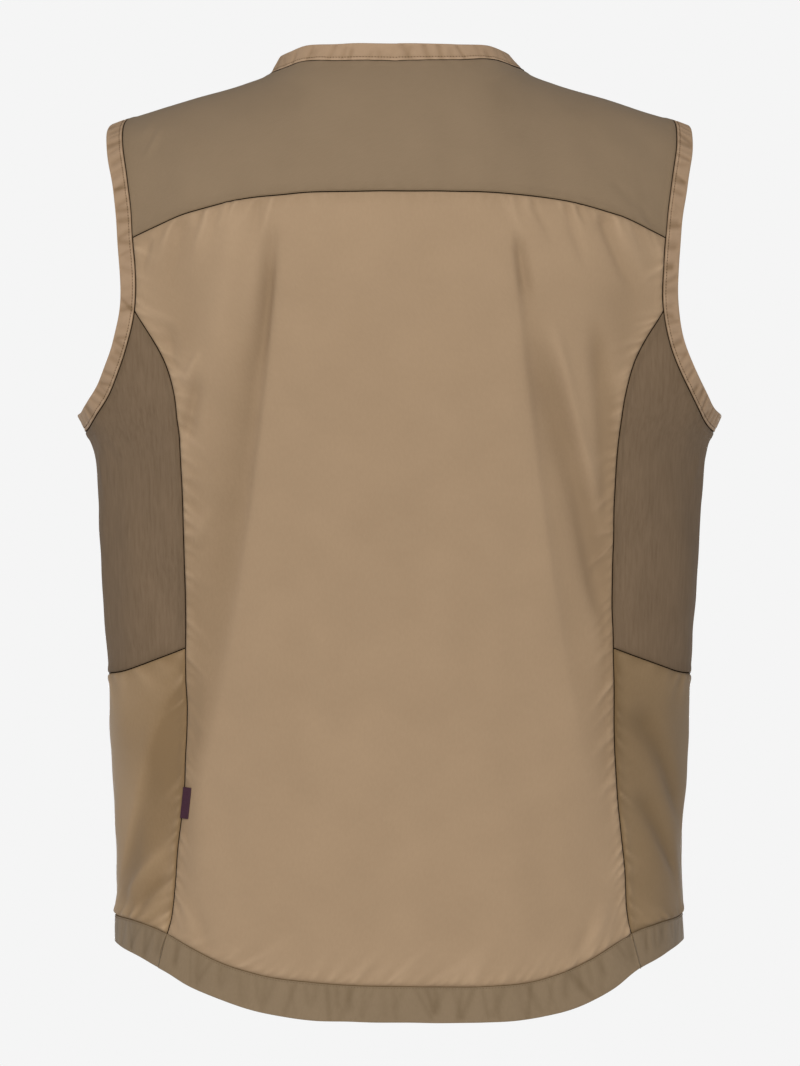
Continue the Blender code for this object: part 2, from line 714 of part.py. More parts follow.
    def armhole_ring(self):
        """All points of the armhole seam, from the front yoke seam over the shoulder and round."""
        down_the_back, round_the_arm = self.armhole_back[::-1], self.underarm[::-1]
        return joined(self.over_shoulder, down_the_back, round_the_arm, self.armhole_front)[:-1]

    def rows_beside_zip(self):
        """Heights of the rows beside the zip, from the hem seam to the neck, closest near the neck."""
        slider = np.array([-0.5, 0.5]) * SLIDER_HEIGHT * SLIDER_RISE + ZIP_TOP
        steps = np.linspace(0, 1, SIDE_LOWER_UP + SIDE_UPPER_UP + ARMHOLE_FRONT - 1)
        span = slider[0] - self.hem_centre[2]
        below = self.hem_centre[2] + span * (1 - (1 - steps) ** ROW_CROWDING)
        return np.concatenate([below, [slider[1], self.neck_front[2]]])


class BackRuns:
    """The runs across the back, from the left side to the right."""

    def __init__(self, left, right):
        self.yoke = self.across(left, right, "yoke_back", "yoke_corner_back")
        self.hem = self.across(left, right, "hem_seam", "hem_back")
        self.edge = self.across(left, right, "hem_edge", "edge_back")
        neck = joined(left.neck[::-1], right.neck)
        self.neck = stretch(neck, left.neck_bend, right.neck_bend, BACK_ACROSS)

    @staticmethod
    def across(left, right, line, corner):
        """A run between the same corner of both sides, along a line that ends at the middle of the back."""
        whole = joined(getattr(left, line), getattr(right, line)[::-1])
        return stretch(whole, getattr(left, corner), getattr(right, corner), BACK_ACROSS)


def add_back(left, right, runs):
    """The centre back panel."""
    sides = [joined(s.lower_back, s.upper_back, s.armhole_back) for s in (left, right)]
    add_wall("back", *wall(panel_grid(runs.hem, runs.yoke, *sides), CLOTH), "tan_cloth")


def add_yoke(left, right, runs):
    """The shoulder piece, one strip round the neck from front seam to front seam."""
    outer = joined(left.over_shoulder, runs.yoke, right.over_shoulder[::-1])
    inner = joined(left.neck_side_run, runs.neck, right.neck_side_run[::-1])
    grid = panel_grid(outer, inner, left.yoke_front[::-1], right.yoke_front[::-1])
    add_wall("yoke", *wall(grid, CLOTH), "olive_cloth")


def add_front(seams, label):
    """A front panel, from the zip to the side seam."""
    top = joined(seams.neck_front_run, seams.yoke_front)
    side = joined(seams.lower_front, seams.upper_front, seams.armhole_front)
    grid = panel_grid(seams.hem_front_run, top, seams.zip_edge, side)
    add_wall(f"front_{label}", *wall(grid, CLOTH), "tan_cloth")


def add_sides(seams, label):
    """The upper and lower side panels, from the front side seam to the back one."""
    upper = panel_grid(seams.slant_run, seams.underarm, seams.upper_front, seams.upper_back)
    add_wall(f"side_upper_{label}", *wall(upper, CLOTH), "stretch_cloth")
    lower = panel_grid(seams.hem_side_run, seams.slant_run, seams.lower_front, seams.lower_back)
    add_wall(f"side_lower_{label}", *wall(lower, CLOTH), "olive_cloth")


def add_hem(name, edge, seam, start, end):
    """A stretch of the hem band between its lower edge and the hem seam."""
    grid = panel_grid(edge, seam, start, end)
    add_wall(name, *wall(grid, CLOTH + HEM_PROUD, HEM_PROUD), "olive_cloth")


def add_hems(left, right, runs):
    """The five stretches of the hem band."""
    for s, label in ((left, "left"), (right, "right")):
        add_hem(f"hem_front_{label}", s.edge_front_run, s.hem_front_run, s.band_centre, s.band_front)
        add_hem(f"hem_side_{label}", s.edge_side_run, s.hem_side_run, s.band_front, s.band_back)
    add_hem("hem_back", runs.edge, runs.hem, left.band_back, right.band_back)


def strip_sections(low, high, out):
    """Sections of a folded strip between two lines: a flat loop with soft edges, standing proud."""
    rows = []
    for point in STRIP_SECTION:
        rows.append(low * (1 - point.up) + high * point.up + out * (BINDING_WALL * point.out))
    return np.stack(rows, axis=1)


def add_armhole_binding(seams, label):
    """The folded strip round an armhole, a closed ring that goes on from the panels into the opening."""
    line = seams.armhole_ring()
    closed = np.vstack([line[-1:], line, line[:1]])
    low = beside(closed, -seams.side * SEAM_GAP / 2)[1:-1]
    high = beside(closed, -seams.side * (BINDING_WIDTH + SEAM_GAP / 2))[1:-1]
    out = normal(low)
    middle = out * (BINDING_PROUD - BINDING_WALL / 2)
    lift = out * fold_lift(low)[:, None]
    sections = strip_sections(low + middle + lift, high + middle + lift, out)
    add_loft(f"armhole_binding_{label}", sections, "binding_cloth", ring=True)


def add_neck_binding(left, right, runs):
    """The folded strip that stands on the neck seam, open at the centre front for the zip."""
    line = joined(left.neck_front_run, left.neck_side_run, runs.neck, right.neck_side_run[::-1],
                  right.neck_front_run[::-1])
    from_middle = (line - np.array(NECK_MIDDLE)) * (1, 1, 0)
    turn = np.degrees(np.arctan2(from_middle[:, 1], np.abs(from_middle[:, 0])))
    rise = smooth(turn, column(NECK_STRIP, "turn"), column(NECK_STRIP, "rise"))
    lean = smooth(turn, column(NECK_STRIP, "turn"), column(NECK_STRIP, "lean"))
    out_of_neck = from_middle / np.linalg.norm(from_middle, axis=1, keepdims=True)
    stand = np.array([0.0, 0.0, 1.0]) * rise[:, None] - out_of_neck * lean[:, None]
    course = np.gradient(line, axis=0)
    out = np.cross(stand, course)
    out /= np.linalg.norm(out, axis=1, keepdims=True)
    out *= np.sign((out * normal(line)).sum(-1, keepdims=True))
    way = stand / np.linalg.norm(stand, axis=1, keepdims=True)
    seat = line + way * (SEAM_GAP + CLOTH / 2) - normal(line) * CLOTH / 2
    add_loft("neck_binding", strip_sections(seat, line + stand, out), "binding_cloth")


def zip_strip(name, across, heights, sink, depth, finish):
    """A strip along the centre front between two distances from the midline, sunk under the panels."""
    columns = [at_face(np.full_like(heights, x), heights, -1) for x in across]
    add_wall(name, *wall(np.stack(columns, axis=1), depth, -sink), finish)


def zip_frame(heights):
    """Place and turn of the slider: across, up the zip and outwards, on the chord between two rows."""
    low, high = at_face(np.zeros(2), heights, -1)
    up = Vector(high - low).normalized()
    across = Vector((1.0, 0.0, 0.0))
    out = across.cross(up)
    turn = Matrix((across, up, out)).transposed().to_4x4()
    return Matrix.Translation(Vector((low + high) / 2)) @ turn


def add_box(build, low, high):
    """Adds a box between two corners to a bmesh."""
    size = [b - a for a, b in zip(low, high)]
    middle = [(a + b) / 2 for a, b in zip(low, high)]
    place = Matrix.Translation(middle) @ Matrix.Diagonal((*size, 1.0))
    bmesh.ops.create_cube(build, size=1.0, matrix=place)


def box_mesh(name, low, high, bevel):
    """A box between two corners, with its edges rounded."""
    build = bmesh.new()
    add_box(build, low, high)
    bmesh.ops.bevel(build, geom=build.edges[:], offset=bevel, segments=1, affect="EDGES")
    mesh = bpy.data.meshes.new(name)
    build.to_mesh(mesh)
    build.free()
    return mesh


def tool_object(name, mesh, frame):
    """A piece that is only joined to another, kept out of the build."""
    tool = bpy.data.objects.new(name, mesh)
    tool.matrix_world = frame
    tool.hide_render = True
    tool.display_type = "WIRE"
    bpy.data.collections["joined_pieces"].objects.link(tool)
    return tool


def join_to(part, tools):
    """Joins pieces to a part with Boolean unions."""
    for tool in tools:
        union = part.modifiers.new(f"with_{tool.name}", "BOOLEAN")
        union.operation = "UNION"
        union.object = tool


def curve_object(name, dimensions, routes, cyclic):
    """A curve object of straight runs through the given points."""
    curve = bpy.data.curves.new(name, "CURVE")
    curve.dimensions = dimensions
    for route in routes:
        spline = curve.splines.new("POLY")
        spline.points.add(len(route) - 1)
        spline.use_cyclic_u = cyclic
        for point, place in zip(spline.points, route):
            point.co = (*place, 1.0)
    sketch = bpy.data.objects.new(name, curve)
    bpy.context.scene.collection.objects.link(sketch)
    return sketch


def mesh_of(sketch):
    """The closed mesh of a curve object, which is removed."""
    bpy.context.view_layer.update()
    evaluated = sketch.evaluated_get(bpy.context.evaluated_depsgraph_get())
    mesh = bpy.data.meshes.new_from_object(evaluated)
    bpy.data.objects.remove(sketch)
    build = bmesh.new()
    build.from_mesh(mesh)
    bmesh.ops.remove_doubles(build, verts=build.verts, dist=SAME_POINT)
    bmesh.ops.recalc_face_normals(build, faces=build.faces)
    build.to_mesh(mesh)
    build.free()
    return mesh


def bail_mesh():
    """The slider's bail, a bent wire over its front plate, as a mesh."""
    route = [(0.0, point.up, point.out) for point in BAIL]
    wire = curve_object("bail_wire", "3D", [route], False)
    wire.data.bevel_depth = BAIL_WIRE
    wire.data.bevel_resolution = 2
    wire.data.use_fill_caps = True
    return mesh_of(wire)


def add_slider(frame):
    """The slider: two plates joined by a post above the chain's end, and the bail on the front plate."""
    half = SLIDER_HEIGHT / 2
    front_low, front_high = (-SLIDER_HALF, -half, -PLATE / 2), (SLIDER_HALF, half, PLATE / 2)
    behind = CHAIN_SINK + CHAIN_DEPTH + PLATE_CLEAR
    rear_low, rear_high = (-SLIDER_HALF, -half, -behind - PLATE), (SLIDER_HALF, half, -behind)
    post_low, post_high = (-POST_HALF, POST_FOOT, -behind - PLATE / 2), (POST_HALF, POST_TOP, 0.0)
    slider = add_object("zip_slider", box_mesh("slider", front_low, front_high, SLIDER_BEVEL), "zip_metal")
    slider.matrix_world = frame
    rear = box_mesh("slider_rear", rear_low, rear_high, SLIDER_BEVEL)
    post = box_mesh("slider_post", post_low, post_high, POST_BEVEL)
    tools = [tool_object("slider_rear_plate", rear, frame), tool_object("slider_post", post, frame),
             tool_object("slider_bail", bail_mesh(), frame)]
    join_to(slider, tools)


def add_pull(frame):
    """The pull tab: a long plate with a window for the bail at its top and a grip hole near its foot."""
    routes = [rounded_outline(outline) for outline in PULL_OUTLINES]
    sketch = curve_object("pull_outline", "2D", routes, True)
    sketch.data.fill_mode = "BOTH"
    sketch.data.extrude = PULL_THICKNESS / 2 - PULL_ROUNDING
    sketch.data.bevel_depth = PULL_ROUNDING
    sketch.data.bevel_resolution = 0
    pull = add_object("zip_pull", mesh_of(sketch), "zip_metal")
    pull.matrix_world = frame @ Matrix.Translation((0.0, 0.0, PULL_AXIS_OUT))


def rounded_outline(outline):
    """A rectangle with round corners on the midline, as points."""
    middle, half_height = (outline.top + outline.foot) / 2, (outline.top - outline.foot) / 2
    points = []
    for quarter, (sign_x, sign_y) in enumerate(((1, 1), (-1, 1), (-1, -1), (1, -1))):
        for step in range(4):
            angle = math.radians(90 * quarter + 30 * step)
            x = sign_x * (outline.half_width - outline.corner) + outline.corner * math.cos(angle)
            y = sign_y * (half_height - outline.corner) + outline.corner * math.sin(angle)
            points.append((x, middle + y, 0.0))
    return points


def add_zip(left):
    """The centre front zip, closed to the top."""
    top_of_tape = left.neck_front[2] + TAPE_PAST_SEAM
    foot_of_tape = left.edge_centre[2] + TAPE_OFF_HEM
    rows = left.zip_rows
    frame = zip_frame(rows[-3:-1])
    tape_rows = np.concatenate([[foot_of_tape], rows, [top_of_tape]])
    chain_foot = foot_of_tape + BOX_HEIGHT + SEAM_GAP
    chain_rows = np.concatenate([[chain_foot], rows[:-2], [ZIP_TOP + CHAIN_IN_SLIDER]])
    for side, label in ((1, "left"), (-1, "right")):
        edges = (side * (CHAIN_HALF + SEAM_GAP), side * (CHAIN_HALF + SEAM_GAP + TAPE_WIDTH))
        zip_strip(f"zip_tape_{label}", edges, tape_rows, TAPE_SINK, TAPE_DEPTH, "zip_tape")
    zip_strip("zip_chain", (-CHAIN_HALF, CHAIN_HALF), chain_rows, CHAIN_SINK, CHAIN_DEPTH, "zip_coil")
    box_out = CHAIN_SINK - SEAM_GAP
    foot_y = at_face(np.zeros(1), np.array([foot_of_tape]), -1)[0, 1]
    low = (-CHAIN_HALF, foot_y + box_out, foot_of_tape)
    high = (CHAIN_HALF, foot_y + CHAIN_SINK + CHAIN_DEPTH + SEAM_GAP, foot_of_tape + BOX_HEIGHT)
    add_object("zip_box", box_mesh("zip_box", low, high, BOX_BEVEL), "zip_coil")
    add_slider(frame)
    add_pull(frame)


def add_seam_tab(left):
    """The folded ribbon caught in the left side seam, lying on the back panel."""
    seam = left.back_seam
    top, foot = (seam[np.argmin(np.abs(seam[:, 2] - height))] for height in (TAB_TOP, TAB_FOOT))
    sections = []
    for point in stretch(seam, top, foot, TAB_ROWS):
        out = normal(point)
        across = np.cross((foot - top) / np.linalg.norm(foot - top), out)
        across *= -np.sign(across[0])
        base = point + out * fold_lift(point)
        sections.append([base + across * place.aside + out * place.off for place in TAB_SECTION])
    add_loft("seam_tab", np.array(sections), "purple_ribbon")


def main():
    """Clears the scene and builds the vest."""
    for old in list(bpy.data.objects):
        bpy.data.objects.remove(old, do_unlink=True)
    for name in ("wind_vest", "joined_pieces"):
        collection = bpy.data.collections.new(name)
        bpy.context.scene.collection.children.link(collection)
    left, right = Seams(1), Seams(-1)
    runs = BackRuns(left, right)
    add_yoke(left, right, runs)
    add_back(left, right, runs)
    for seams, label in ((left, "left"), (right, "right")):
        add_front(seams, label)
        add_sides(seams, label)
        add_armhole_binding(seams, label)
    add_hems(left, right, runs)
    add_neck_binding(left, right, runs)
    add_zip(left)
    add_seam_tab(left)


main()
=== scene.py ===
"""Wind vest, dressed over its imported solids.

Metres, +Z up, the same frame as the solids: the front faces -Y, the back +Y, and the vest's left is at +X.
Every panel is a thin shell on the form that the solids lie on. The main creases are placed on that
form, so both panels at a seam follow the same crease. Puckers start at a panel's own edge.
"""

import logging
import math
from dataclasses import dataclass
from enum import Enum
from typing import NamedTuple

import bpy
import numpy as np
from mathutils import Matrix, Vector


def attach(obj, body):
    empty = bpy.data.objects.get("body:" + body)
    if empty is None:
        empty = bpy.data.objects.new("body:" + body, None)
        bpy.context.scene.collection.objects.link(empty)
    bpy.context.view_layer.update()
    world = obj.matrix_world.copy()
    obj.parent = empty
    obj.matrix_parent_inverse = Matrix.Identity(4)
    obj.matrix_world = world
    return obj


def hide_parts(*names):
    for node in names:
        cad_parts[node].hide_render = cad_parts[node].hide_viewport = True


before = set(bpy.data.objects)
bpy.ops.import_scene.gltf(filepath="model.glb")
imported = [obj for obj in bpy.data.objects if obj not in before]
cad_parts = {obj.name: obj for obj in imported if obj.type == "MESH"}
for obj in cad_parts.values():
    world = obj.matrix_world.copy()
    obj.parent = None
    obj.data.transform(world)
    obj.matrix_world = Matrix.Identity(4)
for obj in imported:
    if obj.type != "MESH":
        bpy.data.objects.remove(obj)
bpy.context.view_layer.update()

LOG = logging.getLogger("wind_vest")
BODY = "vest"
TINY = 1e-12
NEARLY = 1e-9

# Form, as in the solids
ROUNDNESS = 2.4
ARCH_START = -0.160
ARCH_BACK = 2.0
ARCH_FRONT = 1.6
FORM_STEP = 0.0001
SLOPE_STEP = 0.0001
LONGEST_MOVE = 0.030
SETTLE_MOVES = 8
HALVINGS = 40
FARTHEST_ROUND = 0.400
FARTHEST_DEEP = 0.200
LINE_POINTS = 900

# Cloth and seams, as in the solids
CLOTH = 0.0012
SEAM_GAP = 0.0003
BINDING_WIDTH = 0.0134
BINDING_WALL = 0.0024
BINDING_PROUD = 0.0007
HEM_PROUD = 0.0003
NECK_MIDDLE = (0.0024, -0.012, 0.0)
FRONT_EDGE = 0.0045

# Finer cloth
PLY = 0.0009
STRIP_PLY = 0.0005
SEAM_ROLL = 0.0008
SEAM_ROLL_WIDTH = 0.0007
SEAM_HOLD = 0.0016
# Painted light and shade: how much of a fold's lift goes into the cloth's tone, on the back and front and on
# the sides, how much of a pucker's, and where a drape's painted shade fades out
FOLD_PAINTED_SHADING = 0.55
SIDE_FOLD_PAINTED_SHADING = 0.70
PUCKER_PAINTED_LIGHT = 3.2
SHADE_FADE = 0.15
CORNER = 0.0020
ALLOWANCE = 0.0040
ALLOWANCE_FADE = 0.0030
ALLOWANCE_LIFT = 0.0004
# Painted shade: how far from a seam the cloth's tone darkens
SEAM_SHADE = 0.0040
EDGE_STEPS = (0.0, 0.0004, 0.0009, 0.0015, 0.0023, 0.0034, 0.0048, 0.0066)

# A face's creases start this far from the middle of the form, and are whole a fade further out
FACE_START = 0.018
FACE_FADE = 0.030
SIDE_START = 0.140
SIDE_FADE = 0.020
CALM_TOP = 0.000
CALM_FADE = 0.060
CALM_ZIP = 0.006
CALM_ZIP_FADE = 0.030


class Face(Enum):
    """Which side of the vest a crease lies on."""

    BACK = "back"
    FRONT = "front"
    LEFT = "left"
    RIGHT = "right"


class Edge(Enum):
    """The edges of a panel; its first column is the left one."""

    FOOT = "foot"
    TOP = "top"
    LEFT = "left"
    RIGHT = "right"


class Kind(Enum):
    """The kinds of panel."""

    YOKE = "yoke"
    BACK = "back"
    FRONT = "front"
    SIDE_UPPER = "side_upper"
    SIDE_LOWER = "side_lower"


class Level(NamedTuple):
    """A level section of the trunk."""

    height: float
    half_width: float
    back_depth: float
    front_depth: float


class Shoulder(NamedTuple):
    """A point of the shoulder line."""

    across: float
    height: float


class Point(NamedTuple):
    """A point of a seam of the left half."""

    across: float
    depth: float
    height: float


class SideSeam(NamedTuple):
    """How far across the side seam is at a height."""

    height: float
    across: float


class Round(NamedTuple):
    """Heights of the hem seam and edge at a turn from the side to the back, and their drop on the right."""

    turn: float
    hem_seam: float
    seam_drop: float
    hem_edge: float
    edge_drop: float


class Slant(NamedTuple):
    """Height of the slanting seam at a turn."""

    turn: float
    height: float


class NeckStrip(NamedTuple):
    """How far the neck strip rises and leans in at a turn, and what changes on the right."""

    turn: float
    rise: float
    lean: float
    right_drop: float
    right_lean: float


LEVELS = (
    Level(-0.720, 0.2060, 0.1250, 0.1160),
    Level(-0.631, 0.2066, 0.1225, 0.1160),
    Level(-0.530, 0.2058, 0.1160, 0.1140),
    Level(-0.456, 0.2112, 0.1150, 0.1150),
    Level(-0.384, 0.2160, 0.1175, 0.1190),
    Level(-0.310, 0.2202, 0.1220, 0.1240),
    Level(-0.270, 0.2244, 0.1240, 0.1260),
    Level(-0.247, 0.2342, 0.1250, 0.1262),
    Level(-0.222, 0.2400, 0.1255, 0.1255),
    Level(-0.180, 0.2400, 0.1250, 0.1235),
    Level(-0.060, 0.2400, 0.1230, 0.1170),
    Level(0.060, 0.2400, 0.1230, 0.1150),
)
SHOULDERS = (
    Shoulder(0.000, 0.0270),
    Shoulder(0.040, 0.0240),
    Shoulder(0.070, 0.0155),
    Shoulder(0.085, 0.0055),
    Shoulder(0.094, -0.0002),
    Shoulder(0.113, -0.0077),
    Shoulder(0.153, -0.0194),
    Shoulder(0.190, -0.0311),
    Shoulder(0.202, -0.0348),
    Shoulder(0.211, -0.0384),
    Shoulder(0.250, -0.0700),
)
ARMHOLE_SEAM = (
    Point(0.1968, 0.000, -0.0338),
    Point(0.1984, 0.038, -0.0525),
    Point(0.1961, 0.066, -0.0808),
    Point(0.1923, 0.083, -0.1227),
    Point(0.1905, 0.089, -0.1598),
    Point(0.1930, 0.087, -0.1873),
    Point(0.2020, 0.076, -0.2203),
    Point(0.2150, 0.052, -0.2480),
    Point(0.2258, 0.000, -0.2595),
    Point(0.2150, -0.053, -0.2490),
    Point(0.2010, -0.078, -0.2220),
    Point(0.1900, -0.089, -0.1850),
    Point(0.1870, -0.089, -0.1500),
    Point(0.1890, -0.083, -0.1150),
    Point(0.1940, -0.062, -0.0750),
    Point(0.1968, -0.032, -0.0475),
)
NECK_SEAM = (
    Point(0.0000, 0.063, 0.0073),
    Point(0.0494, 0.055, 0.0077),
    Point(0.0714, 0.042, 0.0071),
    Point(0.0819, 0.032, 0.0042),
    Point(0.0896, 0.014, 0.0005),
    Point(0.0896, -0.008, -0.0020),
    Point(0.0846, -0.034, -0.0105),
    Point(0.0730, -0.058, -0.0230),
    Point(0.0500, -0.078, -0.0370),
    Point(0.0240, -0.090, -0.0460),
    Point(0.0000, -0.094, -0.0490),
)
YOKE_SEAM_BACK = (
    Point(0.1800, 0.087, -0.1164),
    Point(0.1582, 0.094, -0.1068),
    Point(0.1401, 0.100, -0.1008),
    Point(0.1148, 0.105, -0.0948),
    Point(0.0860, 0.110, -0.0914),
    Point(0.0572, 0.113, -0.0896),
    Point(0.0000, 0.115, -0.0892),
)
YOKE_CORNER_BACK = -0.1220
YOKE_CORNER_FRONT = -0.0830
SIDE_CORNER_BACK = -0.1746
SIDE_CORNER_FRONT = -0.1800
NECK_YOKE = Point(0.0840, -0.040, -0.014)
NECK_BEND = Point(0.0790, 0.034, 0.005)
YOKE_FRONT_BOW = Point(0.0, -0.004, 0.004)
CENTRE_LINE_TOP = -0.0300
CENTRE_LINE_FOOT = -0.6600
NECK_SHIFT_START = -0.090
NECK_SHIFT_FADE = 0.080
ARMHOLE_HALVES = 0.020
SIDE_SEAM = (
    SideSeam(-0.1954, 0.1784),
    SideSeam(-0.2135, 0.1693),
    SideSeam(-0.2331, 0.1630),
    SideSeam(-0.2565, 0.1594),
    SideSeam(-0.2833, 0.1567),
    SideSeam(-0.3191, 0.1556),
    SideSeam(-0.4160, 0.1552),
    SideSeam(-0.4781, 0.1552),
    SideSeam(-0.5178, 0.1568),
    SideSeam(-0.5640, 0.1617),
    SideSeam(-0.6240, 0.1678),
    SideSeam(-0.6370, 0.1722),
    SideSeam(-0.6700, 0.1760),
)
ROUNDS = (
    Round(-90.0, -0.6070, 0.0, -0.6310, 0.0),
    Round(-40.0, -0.6075, 0.0, -0.6310, 0.0),
    Round(-12.0, -0.6105, 0.0, -0.6310, 0.0),
    Round(0.0, -0.6118, 0.0, -0.6310, 0.0),
    Round(8.0, -0.6132, 0.0, -0.6335, 0.0),
    Round(18.9, -0.6170, 0.0, -0.6425, 0.0),
    Round(26.4, -0.6240, 0.0, -0.6520, 0.0010),
    Round(31.0, -0.6316, 0.0006, -0.6602, 0.0028),
    Round(36.7, -0.6408, 0.0020, -0.6680, 0.0043),
    Round(47.3, -0.6517, 0.0036, -0.6782, 0.0042),
    Round(63.0, -0.6577, 0.0028, -0.6848, 0.0016),
    Round(75.0, -0.6597, 0.0010, -0.6860, 0.0003),
    Round(90.0, -0.6604, 0.0, -0.6864, 0.0),
)
SLANT_SEAM = (
    Slant(-32.0, -0.4440),
    Slant(-10.0, -0.4390),
    Slant(5.0, -0.4366),
    Slant(13.8, -0.4347),
    Slant(24.7, -0.4243),
    Slant(31.3, -0.4160),
)
NECK_STRIP = (
    NeckStrip(-90.0, 0.0120, 0.0050, 0.0, 0.0),
    NeckStrip(-30.0, 0.0118, 0.0060, 0.0, 0.0),
    NeckStrip(0.0, 0.0108, 0.0088, 0.0, 0.0036),
    NeckStrip(15.0, 0.0118, 0.0070, 0.0010, 0.0038),
    NeckStrip(30.0, 0.0124, 0.0060, 0.0016, 0.0024),
    NeckStrip(45.0, 0.0117, 0.0045, 0.0016, 0.0008),
    NeckStrip(60.0, 0.0120, 0.0030, 0.0004, 0.0),
    NeckStrip(75.0, 0.0119, 0.0025, 0.0, 0.0),
    NeckStrip(90.0, 0.0124, 0.0020, 0.0, 0.0),
)


class Crease(NamedTuple):
    """A crease from one point of a face to another; across is X on the back and front and Y on the sides.

    It bows aside by bow. Low and high are its widths toward lower and higher across, which grow along it, and
    it fades in and out over those shares of its length. A positive lift is a ridge. Its lift also goes into
    the cloth's tone as painted light and shade, paler on a ridge and darker in a trough; where it has a
    shade, that painted tone follows its shade and not its lift.
    """

    across0: float
    height0: float
    across1: float
    height1: float
    bow: float
    low: float
    high: float
    lift: float
    grow: float = 1.0
    fade_in: float = 0.35
    fade_out: float = 0.5
    shade: float = 0.0

    def lifts(self, t: np.ndarray, aside: np.ndarray, swell: np.ndarray,
              tone: float) -> tuple[np.ndarray, np.ndarray]:
        """Measures the crease at points laid against it.

        Args:
            t: How far along it each point is.
            aside: How far aside.
            swell: How strong the crease is there.
            tone: The share of its lift that goes into the cloth's tone as painted light and shade.

        Returns:
            How far it lifts the cloth, and the painted light and shade that it puts into the cloth's tone, as
            a lift.
        """
        width = np.where(aside > 0, self.high, self.low) * (1 + (self.grow - 1) * t)
        lift = self.lift * np.exp(-(aside / width) ** 2) * swell
        return lift, lift * (self.shade / self.lift if self.shade else tone)
